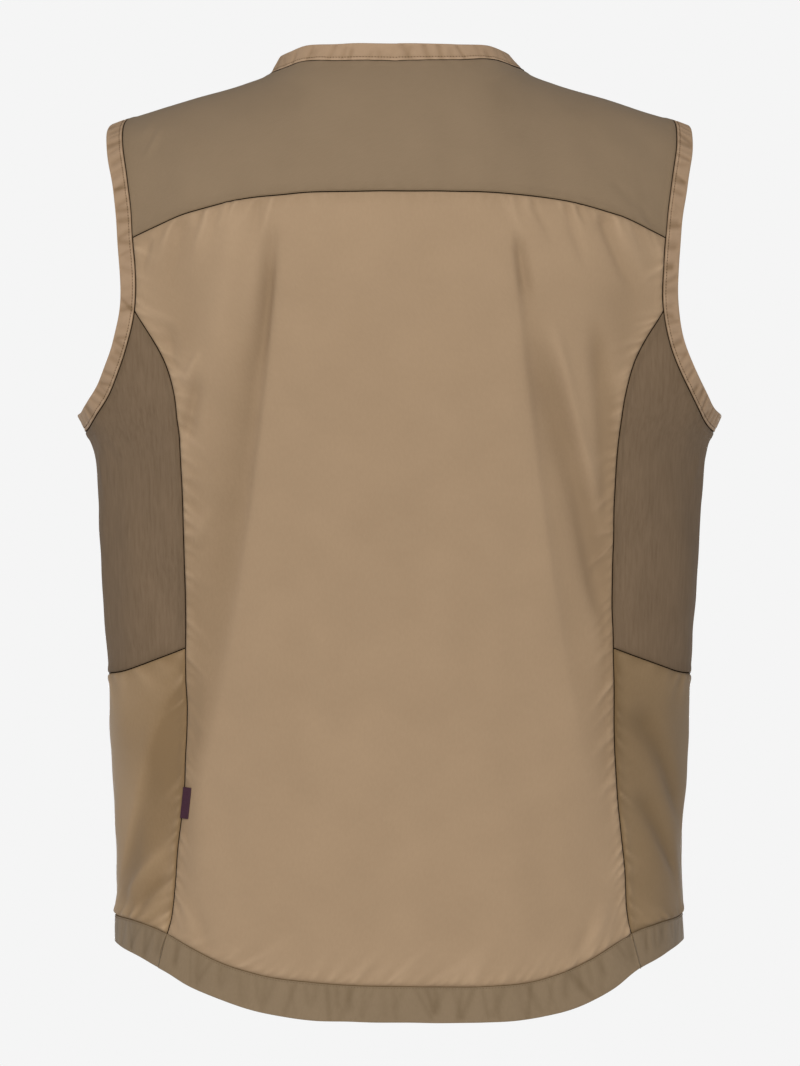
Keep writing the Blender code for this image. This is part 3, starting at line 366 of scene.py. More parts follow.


# Each crease's lift also goes into the cloth's tone as painted light and shade; a crease with its own shade
# and hardly any lift is a band of painted shade
CREASES = {
    Face.BACK: (
        # Left of the back: outside the drape, from the yoke seam to the side seam
        Crease(0.117, -0.09, 0.14, -0.25, 0.0, 0.012, 0.011, 0.0024, 1.1, 0.15, 0.6),
        Crease(0.1369, -0.1, 0.15, -0.146, 0.001, 0.004, 0.0022, 0.0018, 1.5, 0.1, 0.6),
        Crease(0.123, -0.096, 0.132, -0.12, 0.0, 0.0018, 0.0018, 0.0013, 1.5, 0.1, 0.6),
        Crease(0.1165, -0.095, 0.126, -0.114, 0.0, 0.0016, 0.0016, 0.0011, 1.5, 0.1, 0.6),
        Crease(0.101, -0.093, 0.105, -0.125, 0.0, 0.0026, 0.0026, -0.0012, 1.5, 0.15, 0.6),
        Crease(0.165, -0.112, 0.173, -0.138, 0.0, 0.0026, 0.002, 0.0015, 1.4, 0.15, 0.6),
        Crease(0.154, -0.108, 0.169, -0.165, 0.001, 0.007, 0.005, -0.0022, 1.2, 0.15, 0.6),
        Crease(0.179, -0.12, 0.185, -0.146, 0.0, 0.0026, 0.0026, -0.0018, 1.2, 0.2, 0.5),
        Crease(0.169, -0.18, 0.161, -0.235, 0.0, 0.005, 0.005, -0.0018, 1.2, 0.3, 0.5),
        Crease(0.143, -0.2, 0.156, -0.232, 0.0, 0.003, 0.003, 0.0018, 1.2, 0.4, 0.4),
        Crease(0.145, -0.215, 0.1545, -0.275, 0.0, 0.0055, 0.0045, -0.0038, 1.1, 0.35, 0.35),
        Crease(0.148, -0.25, 0.146, -0.52, 0.002, 0.007, 0.005, -0.0003, 1.0, 0.2, 0.2, -0.0012),
        Crease(0.0893, -0.13, 0.0998, -0.222, 0.0, 0.0022, 0.0042, -0.001, 1.1, 0.3, 0.35, -0.0026),
        Crease(0.101, -0.115, 0.111, -0.205, 0.0, 0.005, 0.006, 0.0003, 1.2, 0.4, 0.4, 0.0016),
        Crease(0.165, -0.12, 0.158, -0.225, 0.0, 0.018, 0.018, -0.003, 1.0, 0.4, 0.3),
        Crease(0.136, -0.315, 0.15, -0.35, 0.0, 0.004, 0.004, 0.0016, 1.2, 0.4, 0.3),
        # Right of the back
        Crease(-0.084, -0.115, -0.092, -0.175, 0.0, 0.005, 0.003, -0.0028, 1.2, 0.3, 0.4),
        Crease(-0.094, -0.18, -0.154, -0.41, -0.003, 0.012, 0.013, -0.0068, 0.75, 0.28, 0.22),
        Crease(-0.108, -0.175, -0.144, -0.32, 0.0, 0.005, 0.005, 0.0028, 1.0, 0.3, 0.3),
        Crease(-0.141, -0.172, -0.151, -0.345, -0.001, 0.0075, 0.007, -0.0028, 1.0, 0.24, 0.25, -0.0046),
        Crease(-0.153, -0.2, -0.151, -0.47, 0.0, 0.007, 0.006, -0.0003, 1.0, 0.18, 0.3, -0.003),
        Crease(-0.128, -0.285, -0.149, -0.42, 0.0, 0.006, 0.006, -0.0006, 1.0, 0.35, 0.35, -0.0034),
        Crease(-0.164, -0.13, -0.166, -0.235, 0.0, 0.019, 0.019, -0.003, 1.0, 0.4, 0.35, -0.0026),
        Crease(-0.152, -0.3, -0.149, -0.56, -0.002, 0.007, 0.009, -0.0004, 1.0, 0.2, 0.3, -0.0024),
        Crease(-0.143, -0.103, -0.175, -0.172, 0.001, 0.005, 0.0042, -0.0032, 1.2, 0.15, 0.6),
        Crease(-0.118, -0.097, -0.137, -0.15, 0.0, 0.0036, 0.003, -0.0018, 1.4, 0.12, 0.6),
        Crease(-0.095, -0.094, -0.113, -0.13, 0.0, 0.0024, 0.0024, -0.0012, 1.4, 0.12, 0.6),
        Crease(-0.1275, -0.098, -0.135, -0.114, 0.0, 0.0018, 0.0018, -0.0015, 1.4, 0.15, 0.6),
        Crease(-0.156, -0.106, -0.17, -0.14, 0.0, 0.003, 0.003, 0.0018, 1.4, 0.15, 0.6),
        # Faint bands down the middle
        Crease(0.0715, -0.29, 0.08, -0.62, 0.0, 0.012, 0.012, -0.0007, 1.3, 0.4, 0.4),
        Crease(-0.0485, -0.29, -0.056, -0.62, 0.0, 0.012, 0.012, -0.0006, 1.3, 0.4, 0.4),
        Crease(0.013, -0.16, 0.009, -0.43, 0.002, 0.018, 0.018, -0.0006, 1.2, 0.5, 0.5),
        # Diagonals that cross the hem seam
        Crease(0.1613, -0.586, 0.1434, -0.64, 0.001, 0.006, 0.006, 0.0014, 1.0, 0.5, 0.4),
        Crease(0.153, -0.59, 0.133, -0.65, 0.0, 0.006, 0.006, -0.0014, 1.0, 0.5, 0.4),
        Crease(0.125, -0.625, 0.112, -0.665, 0.0, 0.0045, 0.0045, 0.0008, 1.0, 0.5, 0.4),
        Crease(-0.1534, -0.589, -0.1347, -0.64, 0.0, 0.006, 0.006, 0.0014, 1.0, 0.5, 0.4),
        Crease(-0.144, -0.6, -0.124, -0.655, 0.0, 0.0055, 0.0055, -0.0013, 1.0, 0.5, 0.4),
        Crease(-0.129, -0.625, -0.113, -0.668, 0.0, 0.0045, 0.0045, 0.0009, 1.0, 0.5, 0.4),
        Crease(-0.079, -0.64, -0.067, -0.676, 0.0, 0.004, 0.004, 0.0007, 1.0, 0.5, 0.4),
        # Yoke, below the ends of the neck
        Crease(0.0735, -0.002, 0.09, -0.04, 0.0, 0.009, 0.009, -0.0009, 1.3, 0.2, 0.6),
        Crease(-0.07, -0.002, -0.085, -0.04, 0.0, 0.009, 0.009, -0.001, 1.3, 0.2, 0.6),
        Crease(-0.148, -0.076, -0.1735, -0.102, 0.0, 0.004, 0.004, -0.0008, 1.0, 0.4, 0.3),
        Crease(-0.17, -0.094, -0.186, -0.118, 0.0, 0.0034, 0.0034, -0.0007, 1.0, 0.4, 0.3),
        Crease(0.17, -0.036, 0.186, -0.066, 0.0, 0.0024, 0.0024, 0.001, 1.0, 0.4, 0.4),
        Crease(0.177, -0.033, 0.1915, -0.052, 0.0, 0.004, 0.004, 0.0006, 1.0, 0.4, 0.4),
    ),
    Face.FRONT: (
        Crease(0.14, -0.11, 0.147, -0.25, 0.002, 0.009, 0.01, 0.0018, 1.0, 0.2, 0.6),
        Crease(-0.137, -0.12, -0.15, -0.23, 0.0, 0.009, 0.009, 0.0016, 1.0, 0.2, 0.6),
        Crease(0.042, -0.23, 0.052, -0.54, 0.003, 0.012, 0.012, -0.0008, 1.3, 0.4, 0.4),
        Crease(-0.038, -0.26, -0.043, -0.58, 0.0, 0.012, 0.012, -0.0007, 1.3, 0.4, 0.4),
        Crease(0.145, -0.56, 0.125, -0.615, 0.0, 0.006, 0.006, 0.0012, 1.0, 0.5, 0.4),
        Crease(-0.142, -0.565, -0.12, -0.62, 0.0, 0.006, 0.006, 0.0012, 1.0, 0.5, 0.4),
        Crease(-0.08, -0.57, -0.072, -0.62, 0.0, 0.005, 0.005, -0.0008, 1.0, 0.5, 0.4),
    ),
    Face.LEFT: (
        # Side panel under the slanting seam
        Crease(0.08, -0.56, 0.042, -0.603, 0.0, 0.005, 0.005, 0.0026, 1.2, 0.25, 0.3),
        Crease(0.08, -0.58, 0.054, -0.61, 0.0, 0.0036, 0.0036, -0.002, 1.2, 0.25, 0.3),
        Crease(-0.01, -0.445, -0.025, -0.59, 0.0, 0.01, 0.01, 0.0026, 1.2, 0.3, 0.5),
        Crease(-0.06, -0.435, -0.025, -0.56, 0.0, 0.009, 0.009, -0.003, 1.2, 0.2, 0.5),
        # Stretch panel, drawn up under the arm
        Crease(0.03, -0.272, 0.05, -0.33, 0.0, 0.005, 0.005, 0.001, 1.3, 0.2, 0.7),
        Crease(0.048, -0.262, 0.068, -0.31, 0.0, 0.005, 0.005, -0.0008, 1.3, 0.2, 0.7),
        Crease(-0.02, -0.272, -0.03, -0.34, 0.0, 0.006, 0.006, 0.0009, 1.3, 0.2, 0.7),
    ),
    Face.RIGHT: (
        # Side panel under the slanting seam
        Crease(0.082, -0.455, 0.022, -0.548, 0.002, 0.008, 0.009, -0.0036, 1.0, 0.2, 0.3),
        Crease(0.078, -0.518, 0.028, -0.592, 0.0, 0.007, 0.008, -0.0034, 1.0, 0.22, 0.3),
        Crease(0.005, -0.445, 0.014, -0.59, 0.0, 0.012, 0.012, 0.0024, 1.2, 0.3, 0.5),
        Crease(-0.062, -0.435, -0.03, -0.56, 0.0, 0.009, 0.009, -0.003, 1.2, 0.2, 0.5),
        # Stretch panel, drawn up under the arm
        Crease(0.032, -0.272, 0.05, -0.32, 0.0, 0.005, 0.005, 0.0009, 1.3, 0.2, 0.7),
        Crease(0.008, -0.275, 0.012, -0.34, 0.0, 0.006, 0.006, -0.0008, 1.3, 0.2, 0.7),
    ),
}


class Gather(NamedTuple):
    """A row of small puckers that start at an edge of a panel.

    It lies between two places of the edge, measured along X on a foot or top edge (Y on the side panels) and
    along Z on a left or right one. Slant is how far a pucker moves along the edge per metre away from it.
    """

    kind: Kind
    edge: Edge
    start: float
    end: float
    spacing: float
    reach: float
    width: float
    lift: float
    slant: float


# How unlike each other the puckers of a gather are, as shares of its row's values
GATHER_START = (0.2, 1.0)
GATHER_STEP = (0.6, 1.4)
GATHER_LIFT = (0.35, 1.35)
GATHER_REACH = (0.5, 1.4)
GATHER_WIDTH = (0.75, 1.3)
GATHER_SLANT = 0.2
GATHER_FLARE = 0.6
GATHER_FALL = 1.5
GATHER_CLOSE = 3
GATHER_SEEDS = 7

GATHERS = (
    Gather(Kind.BACK, Edge.LEFT, -0.512, -0.125, 0.0074, 0.008, 0.0018, 0.0017, -0.8),
    Gather(Kind.BACK, Edge.LEFT, -0.655, -0.548, 0.0074, 0.008, 0.0018, 0.0017, -0.8),
    Gather(Kind.BACK, Edge.RIGHT, -0.655, -0.125, 0.0074, 0.008, 0.0018, 0.0017, -0.8),
    Gather(Kind.BACK, Edge.TOP, 0.07, 0.185, 0.011, 0.016, 0.0018, 0.001, 0.45),
    Gather(Kind.BACK, Edge.TOP, -0.185, -0.07, 0.011, 0.016, 0.0018, 0.001, -0.45),
    Gather(Kind.BACK, Edge.TOP, -0.07, 0.07, 0.009, 0.007, 0.0018, 0.0005, 0.0),
    Gather(Kind.BACK, Edge.FOOT, -0.16, 0.16, 0.0085, 0.011, 0.0022, 0.0011, -0.9),
    Gather(Kind.YOKE, Edge.FOOT, -0.19, 0.19, 0.013, 0.008, 0.003, 0.00035, 0.0),
    Gather(Kind.YOKE, Edge.TOP, -0.085, 0.085, 0.011, 0.008, 0.003, 0.0004, 0.0),
    Gather(Kind.FRONT, Edge.RIGHT, -0.6, -0.09, 0.0075, 0.008, 0.0022, 0.0016, -0.7),
    Gather(Kind.FRONT, Edge.TOP, 0.02, 0.18, 0.012, 0.022, 0.0026, 0.0014, 0.3),
    Gather(Kind.FRONT, Edge.FOOT, 0.01, 0.16, 0.009, 0.011, 0.0026, 0.0011, -0.9),
    Gather(Kind.FRONT, Edge.LEFT, -0.6, -0.06, 0.014, 0.008, 0.004, 0.0004, 0.0),
    Gather(Kind.SIDE_UPPER, Edge.LEFT, -0.43, -0.19, 0.008, 0.0035, 0.0024, 0.0003, -0.3),
    Gather(Kind.SIDE_UPPER, Edge.RIGHT, -0.43, -0.19, 0.008, 0.0035, 0.0024, 0.0003, -0.3),
    Gather(Kind.SIDE_UPPER, Edge.FOOT, -0.09, 0.1, 0.01, 0.005, 0.0028, 0.0003, 0.0),
    Gather(Kind.SIDE_UPPER, Edge.TOP, -0.09, 0.09, 0.0095, 0.012, 0.003, 0.00045, 0.0),
    Gather(Kind.SIDE_LOWER, Edge.LEFT, -0.61, -0.44, 0.0085, 0.0085, 0.0022, 0.0015, -0.6),
    Gather(Kind.SIDE_LOWER, Edge.RIGHT, -0.62, -0.43, 0.0085, 0.0085, 0.0022, 0.0015, -0.6),
    Gather(Kind.SIDE_LOWER, Edge.TOP, -0.09, 0.1, 0.011, 0.012, 0.0028, 0.0009, 0.3),
    Gather(Kind.SIDE_LOWER, Edge.FOOT, -0.09, 0.1, 0.009, 0.012, 0.0026, 0.0013, 0.6),
)


def column(table: tuple, name: str) -> np.ndarray:
    """One column of a table of named rows."""
    return np.array([getattr(row, name) for row in table])


def smooth(at: np.ndarray, places: np.ndarray, values: np.ndarray) -> np.ndarray:
    """Follows a smooth curve through a table's values, level with its ends beyond them.

    Args:
        at: Where the curve is read.
        places: Where the table's values are, rising.
        values: The table's values.

    Returns:
        The curve's values at those places.
    """
    slopes = np.gradient(values, places)
    at = np.clip(at, places[0], places[-1])
    left = np.clip(np.searchsorted(places, at, side="right") - 1, 0, len(places) - 2)
    span = places[left + 1] - places[left]
    t = (at - places[left]) / span
    start = (1 + 2 * t) * (1 - t) ** 2 * values[left] + t * (1 - t) ** 2 * span * slopes[left]
    end = t ** 2 * (3 - 2 * t) * values[left + 1] + t ** 2 * (t - 1) * span * slopes[left + 1]
    return start + end


def ease(t: np.ndarray) -> np.ndarray:
    """Rises smoothly from 0 to 1."""
    t = np.clip(t, 0.0, 1.0)
    return t * t * (3 - 2 * t)


def unit(vectors: np.ndarray) -> np.ndarray:
    """The same directions with a length of 1."""
    return vectors / np.maximum(np.linalg.norm(vectors, axis=-1, keepdims=True), TINY)


def lengths(line: np.ndarray) -> np.ndarray:
    """Distance along a line at each of its points."""
    return np.concatenate([[0.0], np.cumsum(np.linalg.norm(np.diff(line, axis=0), axis=1))])


def along(line: np.ndarray, wanted: np.ndarray) -> np.ndarray:
    """Points of a line at the wanted distances from its start."""
    places = lengths(line)
    return np.stack([np.interp(wanted, places, line[:, axis]) for axis in range(3)], axis=-1)


def even(line: np.ndarray, count: int) -> np.ndarray:
    """The same line with evenly spaced points."""
    return along(line, np.linspace(0.0, lengths(line)[-1], count))


def through(points: np.ndarray) -> np.ndarray:
    """Draws a smooth line through points.

    Args:
        points: The points, in order.

    Returns:
        Even points along the line.
    """
    places = lengths(points)
    fine = np.linspace(0.0, places[-1], 4 * LINE_POINTS)
    line = np.stack([smooth(fine, places, points[:, axis]) for axis in range(3)], axis=-1)
    return even(line, LINE_POINTS)


def nearest(line: np.ndarray, point: np.ndarray) -> int:
    """Index of the line's point nearest to a point."""
    return int(np.argmin(np.linalg.norm(line - point, axis=1)))


def meeting(line_a: np.ndarray, line_b: np.ndarray) -> np.ndarray:
    """Finds where two lines come closest.

    Args:
        line_a: One line.
        line_b: The other.

    Returns:
        The point halfway between them there.
    """
    apart = np.linalg.norm(line_a[:, None, :] - line_b[None, :, :], axis=2)
    a, b = np.unravel_index(np.argmin(apart), apart.shape)
    return (line_a[a] + line_b[b]) / 2


def stretch(line: np.ndarray, start: np.ndarray, end: np.ndarray) -> np.ndarray:
    """Takes the stretch of a line between two of its points.

    Args:
        line: The whole line.
        start: Where the stretch starts.
        end: Where it ends.

    Returns:
        The stretch's points, from start to end.
    """
    a, b = nearest(line, start), nearest(line, end)
    part = line[a:b + 1] if a < b else line[b:a + 1][::-1]
    return np.concatenate([[start], part[1:-1], [end]])


def joined(*parts: np.ndarray) -> np.ndarray:
    """One run of points from stretches that share their ends."""
    return np.concatenate([parts[0]] + [part[1:] for part in parts[1:]])


class Form:
    """The smooth form under every panel: level sections with a rounded top over the shoulders."""

    def __init__(self) -> None:
        """Lays the tables out finely, so that they are quick to read."""
        places = column(LEVELS, "height")
        self.heights = np.arange(places[0], places[-1], FORM_STEP)
        self.half_width, self.back_depth, self.front_depth = (
            smooth(self.heights, places, column(LEVELS, name)) for name in Level._fields[1:]
        )
        ends = column(SHOULDERS, "across")
        self.across = np.arange(ends[0], ends[-1], FORM_STEP)
        self.ridge = smooth(self.across, ends, column(SHOULDERS, "height"))

    def value(self, p: np.ndarray) -> np.ndarray:
        """Tells where points are.

        Args:
            p: Points, with their coordinates in the last axis.

        Returns:
            Below zero inside the form, zero on it and above zero outside.
        """
        across, y, z = np.abs(p[..., 0]), p[..., 1], p[..., 2]
        back = y > 0
        deep = np.interp(z, self.heights, self.back_depth)
        depth = np.where(back, deep, np.interp(z, self.heights, self.front_depth))
        ridge = np.interp(across, self.across, self.ridge)
        rise = np.clip((z - ARCH_START) / (ridge - ARCH_START), 0.0, None)
        arch = rise ** np.where(back, ARCH_BACK, ARCH_FRONT)
        side = (across / np.interp(z, self.heights, self.half_width)) ** ROUNDNESS
        return side + (np.abs(y) / depth) ** ROUNDNESS + arch * np.maximum(1 - side, 0.0) - 1

    def slope(self, p: np.ndarray) -> np.ndarray:
        """How fast the form's value grows along each axis."""
        steps = [(self.value(p + axis) - self.value(p - axis)) for axis in np.eye(3) * SLOPE_STEP]
        return np.stack(steps, axis=-1) / (2 * SLOPE_STEP)

    def normal(self, p: np.ndarray) -> np.ndarray:
        """Outward direction of the form at points on it."""
        return unit(self.slope(p))

    def settle(self, p: np.ndarray) -> np.ndarray:
        """Moves points onto the form, along its slope.

        Args:
            p: Points near the form.

        Returns:
            Points on it.
        """
        p = np.array(p, dtype=float)
        for _ in range(SETTLE_MOVES):
            slope = self.slope(p)
            move = -(self.value(p) / np.maximum((slope ** 2).sum(-1), NEARLY))[..., None] * slope
            length = np.maximum(np.linalg.norm(move, axis=-1, keepdims=True), TINY)
            p = p + move * np.minimum(1.0, LONGEST_MOVE / length)
        return p

    def out_from(self, start: np.ndarray, way: np.ndarray, farthest: float) -> np.ndarray:
        """Finds where rays from inside leave the form.

        Args:
            start: Where the rays start.
            way: Their directions.
            farthest: How long they may be.

        Returns:
            Points on the form.
        """
        near, far = np.zeros(len(start)), np.full(len(start), farthest)
        for _ in range(HALVINGS):
            middle = (near + far) / 2
            inside = self.value(start + way * middle[:, None]) < 0
            near, far = np.where(inside, middle, near), np.where(inside, far, middle)
        return start + way * near[:, None]

    def at_turn(self, turn: np.ndarray, z: np.ndarray) -> np.ndarray:
        """Finds points of the form round the trunk.

        Args:
            turn: Angles from the side toward the back, in degrees.
            z: Heights.

        Returns:
            The points.
        """
        angle, none = np.radians(turn), np.zeros_like(z)
        way = np.stack([np.cos(angle), np.sin(angle), none], axis=-1)
        return self.out_from(np.stack([none, none, z], axis=-1), way, FARTHEST_ROUND)

    def at_face(self, across: np.ndarray, z: np.ndarray, facing: int) -> np.ndarray:
        """Finds points of the form on its back or front.

        Args:
            across: How far across they are.
            z: Heights.
            facing: 1 for the back and -1 for the front.

        Returns:
            The points.
        """
        none = np.zeros_like(z)
        way = np.stack([none, none + facing, none], axis=-1)
        return self.out_from(np.stack([across, none, z], axis=-1), way, FARTHEST_DEEP)

    def beside(self, line: np.ndarray, distance: float) -> np.ndarray:
        """A closed line at a distance from another, on the left of its course seen from outside."""
        course = np.roll(line, -1, axis=0) - np.roll(line, 1, axis=0)
        return self.settle(line + unit(np.cross(self.normal(line), course)) * distance)


FORM = Form()


class Waves:
    """Soft unevenness of the cloth, the same on both sides of a seam."""

    COUNT = 26
    LONGEST = 0.110
    SHORTEST = 0.028
    LIFT = 0.00011
    UPRIGHT = 0.6
    GROWTH = 0.8
    SEED = 7

    def __init__(self) -> None:
        """Draws the waves' directions, lengths and starts."""
        draw = np.random.default_rng(self.SEED)
        long = np.geomspace(self.LONGEST, self.SHORTEST, self.COUNT)
        ways = unit(draw.normal(size=(self.COUNT, 3)) * (1.0, 1.0, self.UPRIGHT))
        self.ways = ways * (math.tau / long)[:, None]
        self.starts = draw.uniform(0.0, math.tau, self.COUNT)
        self.lifts = self.LIFT * (long / self.SHORTEST) ** self.GROWTH

    def lift(self, p: np.ndarray) -> np.ndarray:
        """How far the waves lift the cloth at points."""
        return (np.sin(p @ self.ways.T + self.starts) * self.lifts).sum(-1)


WAVES = Waves()


class Drape(NamedTuple):
    """A fold whose line is a bent edge: the cloth stays level on its inner side and steps down outside it.

    It runs like a crease. Outside is 1 where the low side is toward higher across. The step falls away over
    reach and rises again over spread. Spread grows along it, and reach half as fast. Its shade, painted shade
    in the cloth's tone, lies outside the edge too, widens along it and lasts longer than the step.
    """

    across0: float
    height0: float
    across1: float
    height1: float
    bow: float
    outside: int
    reach: float
    spread: float
    drop: float
    grow: float
    fade_in: float
    fade_out: float
    shade: float
    widen: float

    def lifts(self, t: np.ndarray, aside: np.ndarray, swell: np.ndarray,
              _: float) -> tuple[np.ndarray, np.ndarray]:
        """Measures the drape at points laid against it.

        Args:
            t: How far along it each point is.
            aside: How far aside.
            swell: How strong the step is there.
            _: Not used. It is the share that a crease's tone has; a drape has its own painted shade.

        Returns:
            How far it lifts the cloth, and its painted shade, as a lift.
        """
        aside = aside * self.outside
        out = (aside + np.hypot(aside, CORNER)) / 2
        step = 1 - np.exp(-out / (self.reach * (1 + (self.grow - 1) * t / 2)))
        lift = -self.drop * step * np.exp(-(out / self.spread / (1 + (self.grow - 1) * t)) ** 2) * swell
        shade = -self.shade * step * np.exp(-(out / self.spread / (1 + (self.widen - 1) * t)) ** 2)
        return lift, shade * ease(t / self.fade_in) * ease((1 - t) / SHADE_FADE)


DRAPES = {
    Face.BACK: (
        Drape(0.0865, -0.1, 0.148, -0.545, -0.0092, 1, 0.0028, 0.0065, 0.0082,
              grow=5.0, fade_in=0.12, fade_out=0.7, shade=0.005, widen=11.0),
        Drape(-0.08, -0.1, -0.1398, -0.541, 0.0055, -1, 0.0034, 0.007, 0.005,
              grow=4.5, fade_in=0.14, fade_out=0.5, shade=0.0027, widen=7.0),
    ),
    Face.FRONT: (
        Drape(0.07, -0.062, 0.11, -0.44, 0.006, 1, 0.0036, 0.008, 0.0046,
              grow=5.0, fade_in=0.14, fade_out=0.5, shade=0.0024, widen=5.0),
        Drape(-0.074, -0.066, -0.113, -0.42, -0.005, -1, 0.0036, 0.008, 0.0042,
              grow=5.0, fade_in=0.14, fade_out=0.5, shade=0.0022, widen=5.0),
    ),
    Face.LEFT: (
        Drape(0.084, -0.436, 0.012, -0.61, 0.006, 1, 0.006, 0.06, 0.005,
              grow=1.0, fade_in=0.12, fade_out=0.4, shade=0.0048, widen=1.0),
    ),
    Face.RIGHT: (),
}


def lay_on(row: Crease | Drape, across: np.ndarray,
           height: np.ndarray) -> tuple[np.ndarray, np.ndarray, np.ndarray]:
    """Places points against a crease or drape.

    Args:
        row: The crease or drape.
        across: Where the points are across its face.
        height: Their heights.

    Returns:
        How far along it each point is, from 0 to 1, how far aside, and how strong the fold is there.
    """
    chord = np.array([row.across1 - row.across0, row.height1 - row.height0])
    length = np.hypot(*chord)
    east, north = across - row.across0, height - row.height0
    t = (east * chord[0] + north * chord[1]) / length ** 2
    swell = ease(t / row.fade_in) * ease((1 - t) / row.fade_out)
    t = np.clip(t, 0.0, 1.0)
    aside = (north * chord[0] - east * chord[1]) / length - row.bow * 4 * t * (1 - t)
    return t, aside, swell


def fold_lift(p: np.ndarray) -> tuple[np.ndarray, np.ndarray]:
    """Adds up the creases and drapes.

    Args:
        p: Points on the form.

    Returns:
        How far the folds lift the cloth at each, and the painted light and shade that they put into its tone,
        as a lift.
    """
    x, y, z = p[..., 0], p[..., 1], p[..., 2]
    facing = {
        Face.BACK: (x, ease((y - FACE_START) / FACE_FADE), FOLD_PAINTED_SHADING),
        Face.FRONT: (x, ease((-y - FACE_START) / FACE_FADE), FOLD_PAINTED_SHADING),
        Face.LEFT: (y, ease((x - SIDE_START) / SIDE_FADE), SIDE_FOLD_PAINTED_SHADING),
        Face.RIGHT: (y, ease((-x - SIDE_START) / SIDE_FADE), SIDE_FOLD_PAINTED_SHADING),
    }
    total, tone = np.zeros(x.shape), np.zeros(x.shape)
    for face, (across, strength, share) in facing.items():
        for fold in CREASES[face] + DRAPES[face]:
            lift, shade = fold.lifts(*lay_on(fold, across, z), share)
            total += lift * strength
            tone += shade * strength
    return total, tone


def wave_lift(p: np.ndarray) -> np.ndarray:
    """How far the soft waves lift the cloth, calm at the top and beside the zip."""
    beside_zip = np.where(p[..., 1] < 0, ease((np.abs(p[..., 0]) - CALM_ZIP) / CALM_ZIP_FADE), 1.0)
    return WAVES.lift(p) * ease((CALM_TOP - p[..., 2]) / CALM_FADE) * beside_zip


def crease_lift(p: np.ndarray) -> np.ndarray:
    """How far the folds and soft waves lift the cloth off the form at points on it."""
    return fold_lift(p)[0] + wave_lift(p)


@dataclass
class Course:
    """An edge of a panel, made of lines that each take a share of it."""

    lines: list[np.ndarray]
    shares: list[float]

    @property
    def length(self) -> float:
        """Length of all its lines."""
        return float(sum(lengths(line)[-1] for line in self.lines))

    def at(self, places: np.ndarray) -> np.ndarray:
        """Reads points of the course.

        Args:
            places: From 0 at its start to 1 at its end.

        Returns:
            The points there.
        """
        ends = np.concatenate([[0.0], np.cumsum(self.shares)]) / sum(self.shares)
        found = np.zeros((len(places), 3))
        for line, start, end in zip(self.lines, ends, ends[1:]):
            here = (places >= start - NEARLY) & (places <= end + NEARLY)
            found[here] = along(line, (places[here] - start) / (end - start) * lengths(line)[-1])
        return found


def course(*lines: np.ndarray) -> Course:
    """A course whose lines take shares by their lengths."""
    return Course(list(lines), [float(lengths(line)[-1]) for line in lines])


def crowded(length: float, spacing: float) -> np.ndarray:
    """Places the lines of a grid, crowded at both edges.

    Args:
        length: Length that the grid spans.
        spacing: Its spacing away from the edges.

    Returns:
        Places from 0 to 1, with an even number of cells between them.
    """
    steps = np.array(EDGE_STEPS)
    cells = 2 * max(1, round((length - 2 * steps[-1]) / spacing / 2))
    inner = np.linspace(steps[-1], length - steps[-1], cells + 1)
    return np.concatenate([steps[:-1], inner, (length - steps[:-1])[::-1]]) / length


class Patch:
    """The points of a panel on the form, stretched between the courses of its four edges."""

    def __init__(self, foot: Course, top: Course, left: Course, right: Course, spacing: float) -> None:
        """Lays the grid.

        Args:
            foot: The lower edge, from the first column to the last.
            top: The upper edge, the same way.
            left: The first column, upwards.
            right: The last column, upwards.
            spacing: The grid's spacing.
        """
        u = crowded(max(foot.length, top.length), spacing)
        v = crowded(max(left.length, right.length), spacing)
        low, high = foot.at(u)[None], top.at(u)[None]
        near, far = left.at(v)[:, None], right.at(v)[:, None]
        u, v = u[None, :, None], v[:, None, None]
        corners = (1 - u) * (1 - v) * low[:, :1] + u * (1 - v) * low[:, -1:]
        corners = corners + (1 - u) * v * high[:, :1] + u * v * high[:, -1:]
        self.points = FORM.settle((1 - v) * low + v * high + (1 - u) * near + u * far - corners)
        self.hold_apart()
        self.normals = FORM.normal(self.points)
        across = np.linalg.norm(np.diff(self.points, axis=1), axis=2)
        up = np.linalg.norm(np.diff(self.points, axis=0), axis=2)
        self.across = np.pad(np.cumsum(across, axis=1), ((0, 0), (1, 0)))
        self.up = np.pad(np.cumsum(up, axis=0), ((1, 0), (0, 0)))

    def hold_apart(self) -> None:
        """Moves the edges half a seam gap in from their seams."""
        columns = self.points.swapaxes(0, 1)
        for rows in (self.points, self.points[::-1], columns, columns[::-1]):
            rows[0] += unit(rows[1] - rows[0]) * SEAM_GAP / 2

    def from_edge(self, edge: Edge) -> np.ndarray:
        """Measures how far points are from an edge.

        Args:
            edge: The edge.

        Returns:
            The distance of every point of the grid.
        """
        return {
            Edge.FOOT: self.up,
            Edge.TOP: self.up[-1:] - self.up,
            Edge.LEFT: self.across,
            Edge.RIGHT: self.across[:, -1:] - self.across,
        }[edge]

    def along_edge(self, edge: Edge, axis: int) -> np.ndarray:
        """Measures where along an edge points are.

        Args:
            edge: The edge.
            axis: The axis that a foot or top edge is measured along. The others are measured by height.

        Returns:
            The place of every point of the grid.
        """
        lines = {
            Edge.FOOT: self.points[:1, :, axis],
            Edge.TOP: self.points[-1:, :, axis],
            Edge.LEFT: self.points[:, :1, 2],
            Edge.RIGHT: self.points[:, -1:, 2],
        }
        return np.broadcast_to(lines[edge], self.up.shape)

    def cut(self) -> tuple[float, float, float]:
        """Measures the piece that the panel was cut from.

        Returns:
            Its flat width, length and area.
        """
        side_a = self.points[1:, 1:] - self.points[:-1, :-1]
        side_b = self.points[1:, :-1] - self.points[:-1, 1:]
        area = np.linalg.norm(np.cross(side_a, side_b), axis=2).sum() / 2
        return float(self.across[:, -1].max()), float(self.up[-1].max()), float(area)


